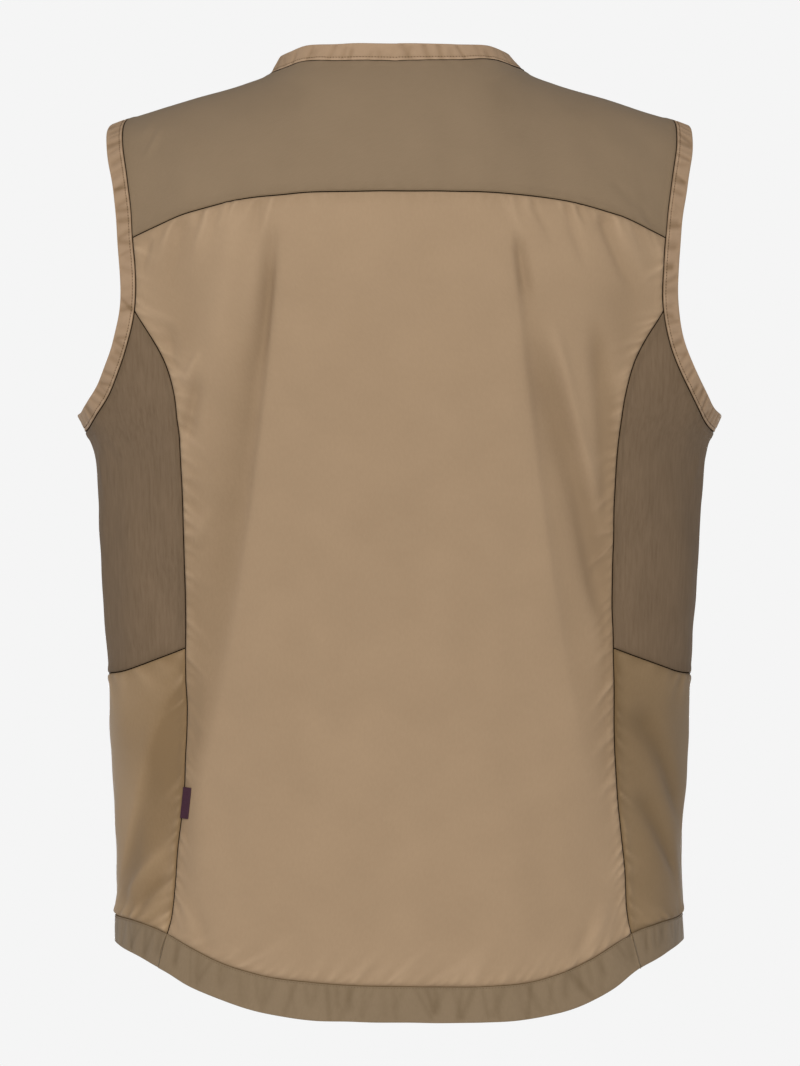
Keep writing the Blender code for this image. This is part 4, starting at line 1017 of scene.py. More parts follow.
def gather_lift(patch: Patch, gather: Gather, side: int, seed: int) -> np.ndarray:
    """Lifts a panel's cloth in a row of puckers.

    Args:
        patch: The panel's grid.
        gather: The row.
        side: 1 on the left of the vest and -1 on the right, where the row is mirrored.
        seed: For the unevenness of the row.

    Returns:
        The lift at each point of the grid.
    """
    draw = np.random.default_rng(seed)
    axis = 1 if gather.kind in (Kind.SIDE_UPPER, Kind.SIDE_LOWER) else 0
    mirrored = axis == 0 and gather.edge in (Edge.FOOT, Edge.TOP)
    distance = patch.from_edge(gather.edge)
    where = patch.along_edge(gather.edge, axis) * (side if mirrored else 1)
    total = np.zeros(distance.shape)
    close = distance < GATHER_CLOSE * gather.reach
    distance, where = distance[close], where[close]
    held = 1 - np.exp(-(distance / SEAM_HOLD) ** 2)
    found = np.zeros(distance.shape)
    place = gather.start + gather.spacing * draw.uniform(*GATHER_START)
    while place < gather.end:
        lift = gather.lift * draw.uniform(*GATHER_LIFT)
        reach = gather.reach * draw.uniform(*GATHER_REACH)
        width = gather.width * draw.uniform(*GATHER_WIDTH)
        slant = gather.slant + draw.normal(0.0, GATHER_SLANT)
        aside = (where - place - slant * distance) / (width * (1 + GATHER_FLARE * distance / reach))
        found += lift * np.exp(-aside ** 2 - (distance / reach) ** GATHER_FALL)
        place += gather.spacing * draw.uniform(*GATHER_STEP)
    total[close] = found * held
    return total


class Grain(NamedTuple):
    """What a shell's material reads: painted shade by its seams, and painted light and shade on its puckers
    and folds.
    """

    seam: np.ndarray
    pucker: np.ndarray


def rim_of(number: np.ndarray) -> np.ndarray:
    """The point numbers round the rim of a grid, once round from its first point."""
    return np.concatenate([number[0, :-1], number[:-1, -1], number[-1, :0:-1], number[:0:-1, 0]])


def flat_faces(rows: int, columns: int, start: int, ring: bool = False) -> np.ndarray:
    """Corners of the cells of a grid.

    Args:
        rows: Its rows of points.
        columns: Its columns.
        start: Number of its first point.
        ring: Whether its last row joins its first.

    Returns:
        Four point numbers for each cell.
    """
    number = np.arange(rows * columns).reshape(rows, columns) + start
    if ring:
        number = np.vstack([number, number[:1]])
    cells = [number[:-1, :-1], number[:-1, 1:], number[1:, 1:], number[1:, :-1]]
    return np.stack(cells, axis=-1).reshape(-1, 4)


def make_mesh(name: str, points: np.ndarray, faces: list, places: np.ndarray, grain: Grain) -> bpy.types.Mesh:
    """Makes a smooth closed mesh whose faces point outwards.

    Args:
        name: Name of the mesh.
        points: Its points.
        faces: Its faces, all turned the same way round.
        places: Where each point lies on the flat cloth, for its UV map.
        grain: What its material reads.

    Returns:
        The mesh.
    """
    corners = np.concatenate([np.asarray(group)[:, :3] for group in faces])
    last = np.concatenate([np.asarray(group)[:, [0, 2, 3]] for group in faces if np.shape(group)[1] == 4])
    corners = points[np.concatenate([corners, last])]
    volume = np.einsum("ij,ij->i", corners[:, 0], np.cross(corners[:, 1], corners[:, 2])).sum()
    rows = [face for group in faces for face in np.asarray(group)[:, ::-1 if volume < 0 else 1].tolist()]
    mesh = bpy.data.meshes.new(name)
    mesh.from_pydata(points.tolist(), [], rows)
    loops = np.zeros(len(mesh.loops), dtype=np.int32)
    mesh.loops.foreach_get("vertex_index", loops)
    layer = mesh.uv_layers.new(name="cloth")
    layer.uv.foreach_set("vector", places[loops].astype(np.float32).ravel())
    for label, values in grain._asdict().items():
        layer = mesh.attributes.new(label, "FLOAT", "POINT")
        layer.data.foreach_set("value", values.astype(np.float32).ravel())
    mesh.shade_smooth()
    return mesh


def shell_mesh(name: str, patch: Patch, lift: np.ndarray, grain: Grain) -> bpy.types.Mesh:
    """Makes a panel's shell, whose inner face has half as many rows and columns as its outer one.

    Args:
        name: Name of the mesh.
        patch: The panel's grid on the form.
        lift: How far its outer face is off the form.
        grain: What its material reads at each point of the outer face.

    Returns:
        The mesh.
    """
    outer = patch.points + patch.normals * lift[..., None]
    inner = (outer - patch.normals * PLY)[::2, ::2]
    rows, columns = outer.shape[:2]
    count = rows * columns
    number = np.arange(count).reshape(rows, columns)
    small = np.arange(inner.shape[0] * inner.shape[1]).reshape(inner.shape[:2]) + count
    outer_rim, near = rim_of(number), rim_of(small)
    a, b, c = outer_rim[::2], outer_rim[1::2], np.roll(outer_rim[::2], -1)
    far = np.roll(near, -1)
    triangles = (b, a, near), (b, near, far), (c, b, far)
    rim = np.concatenate([np.stack(corners, axis=-1) for corners in triangles])
    inner_faces = flat_faces(*inner.shape[:2], count)[:, ::-1]
    points = np.concatenate([outer.reshape(-1, 3), inner.reshape(-1, 3)])
    flat = np.stack([patch.across, patch.up], axis=-1)
    places = np.concatenate([flat.reshape(-1, 2), flat[::2, ::2].reshape(-1, 2)])
    both = Grain(*(np.concatenate([x.ravel(), x[::2, ::2].ravel()]) for x in grain))
    return make_mesh(name, points, [flat_faces(rows, columns, 0), inner_faces, rim], places, both)


class Path(NamedTuple):
    """A line that small parts follow, with outward directions at its points."""

    points: np.ndarray
    out: np.ndarray
    closed: bool = False


class Dressing(NamedTuple):
    """How uneven a strip is.

    Its stitches lie in a groove at a distance from the seam. Pucker, spacing and wide are the depth of the
    small creases across it, how far apart they are and how wide.
    """

    stitch_at: float
    groove: float
    pucker: float
    spacing: float
    wide: float


ARMHOLE_DRESSING = Dressing(0.0025, 0.00055, 0.00140, 0.0078, 0.00210)
NECK_DRESSING = Dressing(0.0034, 0.00032, 0.00090, 0.0095, 0.00190)
HEM_DRESSING = Dressing(0.0011, 0.00025, 0.00150, 0.0072, 0.00200)
RIBBON_DRESSING = Dressing(0.0, 0.0, 0.00012, 0.0008, 0.0002)


class Strip:
    """A folded strip of cloth, such as a binding or hem band: a thin shell bent round its fold."""

    FLAT = (0.0, 0.03, 0.07, 0.11, 0.15, 0.19, 0.23, 0.28, 0.35, 0.45, 0.57, 0.70, 0.85, 1.0)
    BEND_STEPS = 6
    GROOVE_WIDTH = 0.0005
    # Painted light and shade in a strip's tone: darker in its stitch groove and along its seam, paler on the
    # lip between them
    GROOVE_PAINTED_SHADE = 0.35
    SEAM_LINE_SHADE = 0.0003
    LIP = 0.5
    LIP_PAINTED_HIGHLIGHT = 0.35
    THINNEST = 0.0005
    NO_STITCH = 0.0001
    FOOT_RISE = 0.0006
    FADE = 0.25
    FOOT_FADE = 0.10
    CLOSE = 3.0
    FOLD_SHARE = 0.98
    FOOT_SHARE = 0.78
    FOOT_SWELL = 0.20
    LIP_WIDTH = 0.25
    LEAST_CREASES = 4
    PLACES = (-0.35, 0.35)
    DEPTHS = (0.25, 1.0)
    REACHES = (0.45, 1.10)
    WIDTHS = (0.7, 1.5)
    SLANT = 0.30
    LONG_SWAY = (0.00022, 0.017)
    SHORT_SWAY = (0.00016, 0.0071)

    def __init__(self, seam: np.ndarray, fold: np.ndarray, out: np.ndarray, thickness: float,
                 closed: bool) -> None:
        """Keeps the strip's lines.

        Args:
            seam: Points along the seam that holds it, midway between its plies.
            fold: The points of its folded edge across from them.
            out: Outward directions there.
            thickness: Over both plies.
            closed: Whether it is a ring.
        """
        self.seam, self.out, self.closed = seam, out, closed
        self.half = thickness / 2
        self.width = np.linalg.norm(fold - seam, axis=1)
        self.way = unit(fold - seam)
        self.run = lengths(seam)

    def dress(self, dressing: Dressing, seed: int) -> None:
        """Draws the strip's small creases, of which each ply has its own, and the sway of its fold.

        Args:
            dressing: How uneven it is.
            seed: For what differs from crease to crease.
        """
        draw = np.random.default_rng(seed)
        self.total = self.run[-1] + np.linalg.norm(self.seam[-1] - self.seam[0]) * self.closed
        count = max(self.LEAST_CREASES, round(self.total / dressing.spacing))
        self.knots = (np.arange(count) + draw.uniform(*self.PLACES, count)) * self.total / count
        self.depths = dressing.pucker * draw.uniform(*self.DEPTHS, (2, count))
        self.reaches = draw.uniform(*self.REACHES, (2, count))
        self.slants = draw.normal(0.0, self.SLANT, (2, count))
        self.wide = dressing.wide * draw.uniform(*self.WIDTHS, (2, count))
        sways = ((*self.LONG_SWAY, seed), (*self.SHORT_SWAY, 2 * seed))
        self.sway = sum(by * np.sin(self.run / length + start) for by, length, start in sways)
        self.stitch_at, self.groove = dressing.stitch_at, dressing.groove

    def puckers(self, up: np.ndarray, front: bool) -> np.ndarray:
        """Measures the small creases across a ply.

        Args:
            up: Distances from the seam toward the fold, a row for each point of the seam.
            front: Whether it is the outer ply.

        Returns:
            How far they lift the ply, below zero in each.
        """
        share, found = up / self.width[:, None], np.zeros(up.shape)
        side = 0 if front else 1
        rows = zip(self.knots, self.depths[side], self.reaches[side], self.slants[side], self.wide[side])
        for knot, depth, reach, slant, wide in rows:
            past = (self.run - knot + self.total / 2) % self.total - self.total / 2
            near = np.abs(past) < self.CLOSE * wide + abs(slant) * self.width.max()
            aside = (past[near, None] + slant * up[near]) / wide
            fade = ease(share[near] / self.FOOT_FADE) * (1 - ease((share[near] - reach) / self.FADE))
            found[near] -= depth * np.exp(-aside ** 2) * fade
        return found

    def ply(self, up: np.ndarray, front: bool) -> tuple[np.ndarray, np.ndarray]:
        """Measures a ply.

        Args:
            up: Distances from the seam toward the fold, a row for each point of the seam.
            front: Whether it is the outer ply.

        Returns:
            How far off the strip's middle the ply is, and how far a pucker lifts it.
        """
        share = up / self.width[:, None]
        swell = self.FOOT_SHARE + (1 - self.FOOT_SHARE) * ease(share / self.FOOT_SWELL)
        groove = self.groove * np.exp(-((up - self.stitch_at) / self.GROOVE_WIDTH) ** 2)
        puckers = self.puckers(up, front)
        return np.maximum(self.half * swell - groove + puckers, self.THINNEST), puckers

    def mesh(self, name: str, follow_creases: bool) -> bpy.types.Mesh:
        """Makes the strip's shell.

        Args:
            name: Name of the mesh.
            follow_creases: Whether every point follows the creases, and not only the seam.

        Returns:
            The mesh.
        """
        radius = self.half * self.FOLD_SHARE
        flat = np.array(self.FLAT)
        bend = np.linspace(0.0, math.pi, self.BEND_STEPS + 2)[1:-1]
        full = (self.width + self.sway)[:, None]
        reach = np.concatenate([flat, np.ones(self.BEND_STEPS), flat[::-1]])[None] * (full - radius)
        front_off, front_pucker = self.ply((full - radius) * flat[None], True)
        back_off, back_pucker = self.ply((full - radius) * flat[None], False)
        plies = front_off, back_off
        outer, inner = (self.bent(*plies, reach, bend, radius, skin) for skin in (0.0, STRIP_PLY))
        coarse = [*range(0, outer.shape[1] - 1, 2), outer.shape[1] - 1][::-1]
        loop = np.concatenate([outer, inner[:, coarse]], axis=1)
        if follow_creases:
            loop = loop + self.out[:, None] * crease_lift(loop)[..., None]
        sections, count = loop.shape[:2]
        faces = [flat_faces(sections, count, 0, self.closed)]
        number = np.arange(sections * count).reshape(sections, count)
        wrap = np.concatenate([number, number[:, :1]], axis=1)[:, -2:]
        ends = np.vstack([wrap, wrap[:1]]) if self.closed else wrap
        faces.append(np.stack([ends[:-1, 0], ends[:-1, 1], ends[1:, 1], ends[1:, 0]], axis=-1))
        if not self.closed:
            faces += [number[:1], number[-1:, ::-1]]
        none = np.zeros((sections, self.BEND_STEPS))
        # The puckers' hollows also darken the strip's tone, as painted shade
        pucker = np.concatenate([front_pucker, none, back_pucker[:, ::-1]], axis=1)
        # Painted shade along the seam and in the stitch groove, and a painted highlight on the lip between
        # them
        groove = self.GROOVE_PAINTED_SHADE * np.exp(-((reach - self.stitch_at) / self.GROOVE_WIDTH) ** 2)
        lip_highlight = np.exp(-((reach / max(self.stitch_at, self.NO_STITCH) - self.LIP) / self.LIP_WIDTH) ** 2)
        lip_highlight = lip_highlight * (self.stitch_at > 0)
        seam = np.minimum(1.0, np.exp(-reach / self.SEAM_LINE_SHADE) + groove) - self.LIP_PAINTED_HIGHLIGHT * lip_highlight
        reach, pucker, seam = (np.concatenate([x, x[:, coarse]], axis=1) for x in (reach, pucker, seam))
        places = np.stack([np.broadcast_to(self.run[:, None], reach.shape), reach], axis=-1)
        return make_mesh(name, loop.reshape(-1, 3), faces, places.reshape(-1, 2), Grain(seam, pucker))

    def bent(self, front: np.ndarray, back: np.ndarray, reach: np.ndarray, bend: np.ndarray,
             radius: float, skin: float) -> np.ndarray:
        """Lays one skin of the shell: up the front ply, round the fold and down the back ply.

        Args:
            front: How far the front ply is off the strip's middle.
            back: The same of the back ply.
            reach: How far each point is up the strip.
            bend: Angles round the fold.
            radius: Of the fold.
            skin: How far the skin lies inside the outer one.

        Returns:
            The skin's points, a row for each section.
        """
        turned = np.broadcast_to(np.cos(bend) * (radius - skin), (len(self.seam), len(bend)))
        off = np.concatenate([front - skin, turned, skin - back[:, ::-1]], axis=1)
        none = np.zeros(front.shape)
        round_it = np.broadcast_to(np.sin(bend) * (radius - skin), turned.shape)
        up = reach + np.concatenate([none, round_it, none], axis=1)
        return self.seam[:, None] + self.way[:, None] * up[..., None] + self.out[:, None] * off[..., None]

    def line(self, front: bool, off_at: float, rise: float) -> Path:
        """Follows a ply along the strip.

        Args:
            front: Whether it is the outer ply.
            off_at: How far up the strip the ply's distance from the middle is read.
            rise: How far up the strip the line is.

        Returns:
            The line.
        """
        off, _ = self.ply(np.full((len(self.seam), 1), off_at), front)
        side = self.out * (1 if front else -1)
        return Path(self.seam + self.way * rise + side * off, side, self.closed)

    def foot_lines(self) -> list[Path]:
        """The lines on both plies just above the seam."""
        return [self.line(front, 0.0, self.FOOT_RISE) for front in (True, False)]

    def stitch_lines(self) -> list[Path]:
        """The lines on both plies that the stitches follow, lying in their groove."""
        return [self.line(front, self.stitch_at, self.stitch_at) for front in (True, False)]


def path_object(name: str, paths: list[Path]) -> bpy.types.Object:
    """Makes an object of bare lines for a node tree to work on.

    Args:
        name: Name of the object.
        paths: Its lines.

    Returns:
        The object, whose points keep their outward directions.
    """
    edges, start = [], 0
    for path in paths:
        count = len(path.points)
        edges += [(start + i, start + i + 1) for i in range(count - 1)]
        edges += [(start + count - 1, start)] * path.closed
        start += count
    mesh = bpy.data.meshes.new(name)
    mesh.from_pydata(np.concatenate([path.points for path in paths]).tolist(), edges, [])
    out = np.concatenate([path.out for path in paths]).astype(np.float32)
    mesh.attributes.new("out", "FLOAT_VECTOR", "POINT").data.foreach_set("vector", out.ravel())
    holder = bpy.data.objects.new(name, mesh)
    bpy.context.scene.collection.objects.link(holder)
    return holder


class Wiring:
    """Adds nodes to a tree and joins them."""

    def __init__(self, tree: bpy.types.NodeTree) -> None:
        """Keeps the tree."""
        self.tree = tree

    def add(self, kind: str, inputs: dict | None = None, **settings: object) -> bpy.types.Node:
        """Adds a node.

        Args:
            kind: Its type.
            inputs: For each of its sockets, by name or number, a value or the socket that feeds it.
            **settings: Values of its properties.

        Returns:
            The node.
        """
        node = self.tree.nodes.new(kind)
        for name, value in settings.items():
            setattr(node, name, value)
        self.feed(node, inputs or {})
        return node

    def feed(self, node: bpy.types.Node, inputs: dict) -> None:
        """Sets a node's sockets, each to a value or to the socket that feeds it.

        Args:
            node: The node.
            inputs: The values and sockets, by the name or number of the node's own.
        """
        for key, value in inputs.items():
            if isinstance(value, bpy.types.NodeSocket):
                self.tree.links.new(value, node.inputs[key])
            else:
                node.inputs[key].default_value = value

    def math(self, operation: str, first: object, second: object = 0.0) -> bpy.types.NodeSocket:
        """The result of a Math node."""
        return self.add("ShaderNodeMath", {0: first, 1: second}, operation=operation).outputs[0]


class GrowTree:
    """A Geometry Nodes tree with named inputs, that makes a plain mesh out of bare lines."""

    def __init__(self, name: str, sizes: dict[str, float]) -> None:
        """Starts the tree.

        Args:
            name: Name of the tree.
            sizes: Its inputs and their values.
        """
        self.tree = bpy.data.node_groups.new(name, "GeometryNodeTree")
        self.sizes = sizes
        face = self.tree.interface
        face.new_socket("Geometry", in_out="INPUT", socket_type="NodeSocketGeometry")
        for label, value in sizes.items():
            kind = "NodeSocketInt" if isinstance(value, int) else "NodeSocketFloat"
            face.new_socket(label, in_out="INPUT", socket_type=kind)
        face.new_socket("Material", in_out="INPUT", socket_type="NodeSocketMaterial")
        face.new_socket("Geometry", in_out="OUTPUT", socket_type="NodeSocketGeometry")
        self.wiring = Wiring(self.tree)
        self.given = self.wiring.add("NodeGroupInput").outputs

    def close(self, geometry: bpy.types.NodeSocket) -> None:
        """Ends the tree: smooth, real and with its material.

        Args:
            geometry: What the tree has made.
        """
        add = self.wiring.add
        shaded = add("GeometryNodeSetShadeSmooth", {0: geometry})
        real = add("GeometryNodeRealizeInstances", {0: shaded.outputs[0]})
        dressed = {"Geometry": real.outputs[0], "Material": self.given["Material"]}
        add("NodeGroupOutput", {0: add("GeometryNodeSetMaterial", dressed).outputs[0]})

    def grow(self, holder: bpy.types.Object, material: bpy.types.Material) -> bpy.types.Mesh:
        """Runs the tree on an object of bare lines, which is removed.

        Args:
            holder: The object.
            material: The finish of what grows.

        Returns:
            A plain mesh.
        """
        modifier = holder.modifiers.new(self.tree.name, "NODES")
        modifier.node_group = self.tree
        values = {**self.sizes, "Material": material}
        for item in self.tree.interface.items_tree:
            if item.in_out == "INPUT" and item.name in values:
                modifier[item.identifier] = values[item.name]
        bpy.context.view_layer.update()
        evaluated = holder.evaluated_get(bpy.context.evaluated_depsgraph_get())
        mesh = bpy.data.meshes.new_from_object(evaluated)
        holder.modifiers.remove(modifier)
        bpy.data.objects.remove(holder)
        return mesh


def cord_tree(radius: float, sides: int) -> GrowTree:
    """A tree that draws a round cord along each line.

    Args:
        radius: Of the cord.
        sides: How many flat sides it has.

    Returns:
        The tree.
    """
    grow = GrowTree("cord_along_lines", {"Radius": radius, "Sides": sides})
    add, given = grow.wiring.add, grow.given
    line = add("GeometryNodeMeshToCurve", {"Mesh": given["Geometry"]})
    circle = {"Resolution": given["Sides"], "Radius": given["Radius"]}
    profile = add("GeometryNodeCurvePrimitiveCircle", circle)
    swept = {"Curve": line.outputs[0], "Profile Curve": profile.outputs[0], "Fill Caps": True}
    grow.close(add("GeometryNodeCurveToMesh", swept).outputs[0])
    return grow


def bead_tree(name: str, pitch: float, size: tuple, aside: float, turn: float, wander: float,
              seed: int) -> GrowTree:
    """A tree that lays one small rounded part after another along each line.

    Args:
        name: Name of the tree.
        pitch: From one part to the next.
        size: Of a part along the line, across it and outwards.
        aside: How far across the line its middle is.
        turn: Its turn about the outward direction.
        wander: How much that turn differs from part to part.
        seed: For those differences.

    Returns:
        The tree.
    """
    length, width, height = size
    grow = GrowTree(name, {"Pitch": pitch, "Length": length, "Width": width, "Height": height, "Aside": aside,
                           "Turn": turn, "Wander": wander, "Seed": seed})
    add, given, math_node = grow.wiring.add, grow.given, grow.wiring.math
    line = add("GeometryNodeMeshToCurve", {"Mesh": given["Geometry"]})
    every = {"Curve": line.outputs[0], "Length": given["Pitch"]}
    spaced = add("GeometryNodeResampleCurve", every, mode="LENGTH")
    out = add("GeometryNodeInputNamedAttribute", {"Name": "out"}, data_type="FLOAT_VECTOR")
    ways = {"Primary Axis": out.outputs[0], "Secondary Axis": add("GeometryNodeInputTangent").outputs[0]}
    facing = add("FunctionNodeAxesToRotation", ways, primary_axis="Z", secondary_axis="X")
    ball = add("GeometryNodeMeshUVSphere", {"Segments": 6, "Rings": 3, "Radius": 0.5})
    scale = add("ShaderNodeCombineXYZ", {0: given["Length"], 1: given["Width"], 2: given["Height"]})
    part = add("GeometryNodeTransform", {"Geometry": ball.outputs[0], "Scale": scale.outputs[0]})
    placing = {"Points": spaced.outputs[0], "Instance": part.outputs[0], "Rotation": facing.outputs[0]}
    laid = add("GeometryNodeInstanceOnPoints", placing)
    least, most = (math_node(step, given["Turn"], given["Wander"]) for step in ("SUBTRACT", "ADD"))
    draw = add("FunctionNodeRandomValue", {2: least, 3: most, "Seed": given["Seed"]}, data_type="FLOAT")
    about = add("ShaderNodeCombineXYZ", {2: draw.outputs[1]})
    turned = add("GeometryNodeRotateInstances", {"Instances": laid.outputs[0], "Rotation": about.outputs[0]})
    shift = add("ShaderNodeCombineXYZ", {1: given["Aside"]})
    moved = {"Instances": turned.outputs[0], "Translation": shift.outputs[0], "Local Space": True}
    grow.close(add("GeometryNodeTranslateInstances", moved).outputs[0])
    return grow


def linear(colour: tuple[int, int, int], gain: float = 1.0) -> tuple[float, float, float, float]:
    """Turns a display colour into light, by the sRGB curve.

    Args:
        colour: Its red, green and blue, up to 255.
        gain: How much stronger the light is made.

    Returns:
        Its light, with an alpha of 1.
    """
    shades = [shade / 255 for shade in colour]
    light = [s / 12.92 if s <= 0.04045 else ((s + 0.055) / 1.055) ** 2.4 for s in shades]
    return (*(min(1.0, x * gain) for x in light), 1.0)


# How strongly the darker tone lacks red, green and blue: the cloth is warmer where it is deeper, in its
# uneven tone and its painted shade
DARKENING = (1.00, 1.12, 1.36)

# Noise of scale 1 has patches of about this size, and a wave of scale 1 has this many radians a metre
NOISE_PATCH = 0.6
WAVE_RADIANS = 20


class Paint(Wiring):
    """The nodes of one material."""

    def __init__(self, material: bpy.types.Material) -> None:
        """Gives the material nodes, and keeps them and its shader.

        Args:
            material: The material.
        """
        material.use_nodes = True
        super().__init__(material.node_tree)
        self.shader = material.node_tree.nodes["Principled BSDF"]

    def give(self, inputs: dict) -> None:
        """Sets the shader's sockets."""
        self.feed(self.shader, inputs)

    def flat(self) -> bpy.types.NodeSocket:
        """Places on the flat cloth."""
        return self.add("ShaderNodeUVMap", uv_map="cloth").outputs[0]

    def place(self, *scale: float) -> bpy.types.NodeSocket:
        """Places on the vest, scaled along each axis where scales are given."""
        place = self.add("ShaderNodeTexCoord").outputs["Object"]
        return self.scaled(place, scale) if scale else place

    def scaled(self, vector: bpy.types.NodeSocket, scale: tuple) -> bpy.types.NodeSocket:
        """Places scaled along each axis."""
        return self.add("ShaderNodeMapping", {"Vector": vector, "Scale": scale}).outputs[0]

    def grain(self, name: str) -> bpy.types.NodeSocket:
        """One of the values of the shell's points."""
        return self.add("ShaderNodeAttribute", attribute_name=name).outputs["Fac"]

    def noise(self, vector: bpy.types.NodeSocket, size: float, detail: float) -> bpy.types.NodeSocket:
        """Adds noise.

        Args:
            vector: The places that it is read at.
            size: About how large its patches are, in metres.
            detail: How much finer noise it has.

        Returns:
            Its value, about 0.
        """
        inputs = {"Vector": vector, "Scale": NOISE_PATCH / size, "Detail": detail}
        return self.math("SUBTRACT", self.add("ShaderNodeTexNoise", inputs).outputs[0], 0.5)

    def bands(self, vector: bpy.types.NodeSocket, direction: str, pitch: float) -> bpy.types.NodeSocket:
        """Adds even bands.

        Args:
            vector: The places that they are read at.
            direction: The axis that they follow each other along.
            pitch: From one to the next, in metres.

        Returns:
            Their value, from 0 to 1.
        """
        scale = math.tau / (WAVE_RADIANS * pitch)
        made = self.add("ShaderNodeTexWave", {"Vector": vector, "Scale": scale}, bands_direction=direction)
        return made.outputs[1]


@dataclass(frozen=True)
class Finish:
    """What every finish has: a name, the record's slot, its colour and how its surface is.

    Spread is how far its tones are from its colour, and rough_by how much its roughness differs. Relief and
    depth are the strength and the depth of its bumps.
    """

    name: str
    slot: str
    colour: tuple[int, int, int]
    roughness: float
    spread: float = 0.20
    rough_by: float = 0.05
    relief: float = 0.15
    depth: float = 0.0001
    sheen: float = 0.0
    gloss: float = 0.5

    def material(self) -> bpy.types.Material:
        """Finds the finish's material, or makes it the first time.

        Returns:
            The material.
        """
        found = bpy.data.materials.get(self.name)
        if not found:
            found = bpy.data.materials.new(self.name)
            self.wire(Paint(found))
            found.diffuse_color = linear(self.colour)
        return found

    def wire(self, paint: Paint) -> None:
        """Joins the finish's nodes to the shader; each kind of finish has its own."""
        raise NotImplementedError

    def surface(self, paint: Paint, parts: list[tuple], rough: bpy.types.NodeSocket,
                height: bpy.types.NodeSocket) -> None:
        """Gives the shader two mixed tones of the colour, an uneven roughness and bumps.

        Args:
            paint: The material's nodes.
            parts: Sockets that vary about 0, each with its gain toward the lighter tone.
            rough: What the roughness follows.
            height: What the bumps follow.
        """
        total: object = 0.5
        for socket, gain in parts:
            total = paint.math("ADD", paint.math("MULTIPLY", socket, gain), total)
        darker = [light * (1 - self.spread * part) for light, part in zip(linear(self.colour), DARKENING)]
        tones = {0: total, 6: (*darker, 1.0), 7: linear(self.colour, 1 + self.spread)}
        limits = {"Value": rough, "To Min": self.roughness - self.rough_by,
                  "To Max": self.roughness + self.rough_by}
        bumps = {"Height": height, "Strength": self.relief, "Distance": self.depth}
        paint.give({
            "Base Color": paint.add("ShaderNodeMix", tones, data_type="RGBA").outputs[2],
            "Roughness": paint.add("ShaderNodeMapRange", limits).outputs[0],
            "Normal": paint.add("ShaderNodeBump", bumps).outputs[0],
            "Sheen Weight": self.sheen,
            "Specular IOR Level": self.gloss,
        })


@dataclass(frozen=True)
class WovenCloth(Finish):
    """Plain woven cloth: fine threads both ways, softly uneven colour, painted light and shade by its seams,
    puckers and folds.
    """

    spread: float = 0.22
    relief: float = 0.35
    depth: float = 0.00012
    sheen: float = 0.05
    gloss: float = 0.32
    thread: float = 0.00042
    thread_tone: float = 0.12
    mottle: float = 0.20
    mottle_size: float = 0.022
    fleck: float = 0.22
    fleck_size: float = 0.0011
    fleck_scale: tuple[float, float, float] = (1.0, 0.45, 1.0)
    fleck_relief: float = 0.35
    seam_painted_shade: float = 0.35
    relief_painted_light: float = 100.0

    def wire(self, paint: Paint) -> None:
        """Joins the weave's nodes to the shader.

        Args:
            paint: The material's nodes.
        """
        flat = paint.flat()
        mottle = paint.noise(paint.place(), self.mottle_size, 3.0)
        fleck = paint.noise(paint.scaled(flat, self.fleck_scale), self.fleck_size, 2.0)
        weave = paint.math("MULTIPLY", *(paint.bands(flat, axis, self.thread) for axis in "XY"))
        # Painted light and shade: darker near the seams, paler where puckers and folds lift the cloth and
        # darker where they sink it
        parts = [(mottle, self.mottle), (fleck, self.fleck),
                 (paint.math("SUBTRACT", weave, 0.25), self.thread_tone),
                 (paint.grain("seam"), -self.seam_painted_shade), (paint.grain("pucker"), self.relief_painted_light)]
        height = paint.math("ADD", weave, paint.math("MULTIPLY", fleck, self.fleck_relief))
        self.surface(paint, parts, fleck, height)
        paint.give({"Specular Tint": linear(self.colour, 2.0)})


@dataclass(frozen=True)
class StretchCloth(Finish):
    """Stretch knit: fine upright streaks of two tones over small upright ribs, with painted shade near its
    seams.
    """

    spread: float = 0.26
    relief: float = 0.30
    depth: float = 0.00015
    sheen: float = 0.02
    gloss: float = 0.15
    rib: float = 0.0011
    rib_tone: float = 0.06
    mottle: float = 0.35
    mottle_size: float = 0.030
    streak: float = 0.75
    streak_size: float = 0.0013
    finer: float = 0.35
    finer_size: float = 0.0005
    seam_painted_shade: float = 0.35

    def wire(self, paint: Paint) -> None:
        """Joins the knit's nodes to the shader.

        Args:
            paint: The material's nodes.
        """
        mottle = paint.noise(paint.place(), self.mottle_size, 3.0)
        upright = paint.place(1.0, 1.0, 0.10)
        streak = paint.noise(upright, self.streak_size, 2.0)
        finer = paint.noise(upright, self.finer_size, 1.0)
        ribs = paint.bands(paint.flat(), "X", self.rib)
        # Painted shade: darker near the seams
        parts = [(mottle, self.mottle), (streak, self.streak), (finer, self.finer),
                 (paint.math("SUBTRACT", ribs, 0.5), self.rib_tone), (paint.grain("seam"), -self.seam_painted_shade)]
        self.surface(paint, parts, streak, paint.math("ADD", ribs, streak))


@dataclass(frozen=True)
class Ribbed(Finish):
    """Narrow woven goods, such as zip tape and ribbon: close ribs across them."""

    spread: float = 0.25
    relief: float = 0.5
    depth: float = 0.00015
    sheen: float = 0.10
    gloss: float = 0.3
    pitch: float = 0.0008
    rib_tone: float = 0.45
    fleck: float = 0.6
    fleck_size: float = 0.0012

    def wire(self, paint: Paint) -> None:
        """Joins the ribs' nodes to the shader.

        Args:
            paint: The material's nodes.
        """
        fleck = paint.noise(paint.place(), self.fleck_size, 2.0)
        ribs = paint.bands(paint.flat(), "X", self.pitch)
        parts = [(paint.math("SUBTRACT", ribs, 0.5), self.rib_tone), (fleck, self.fleck)]
        self.surface(paint, parts, fleck, ribs)


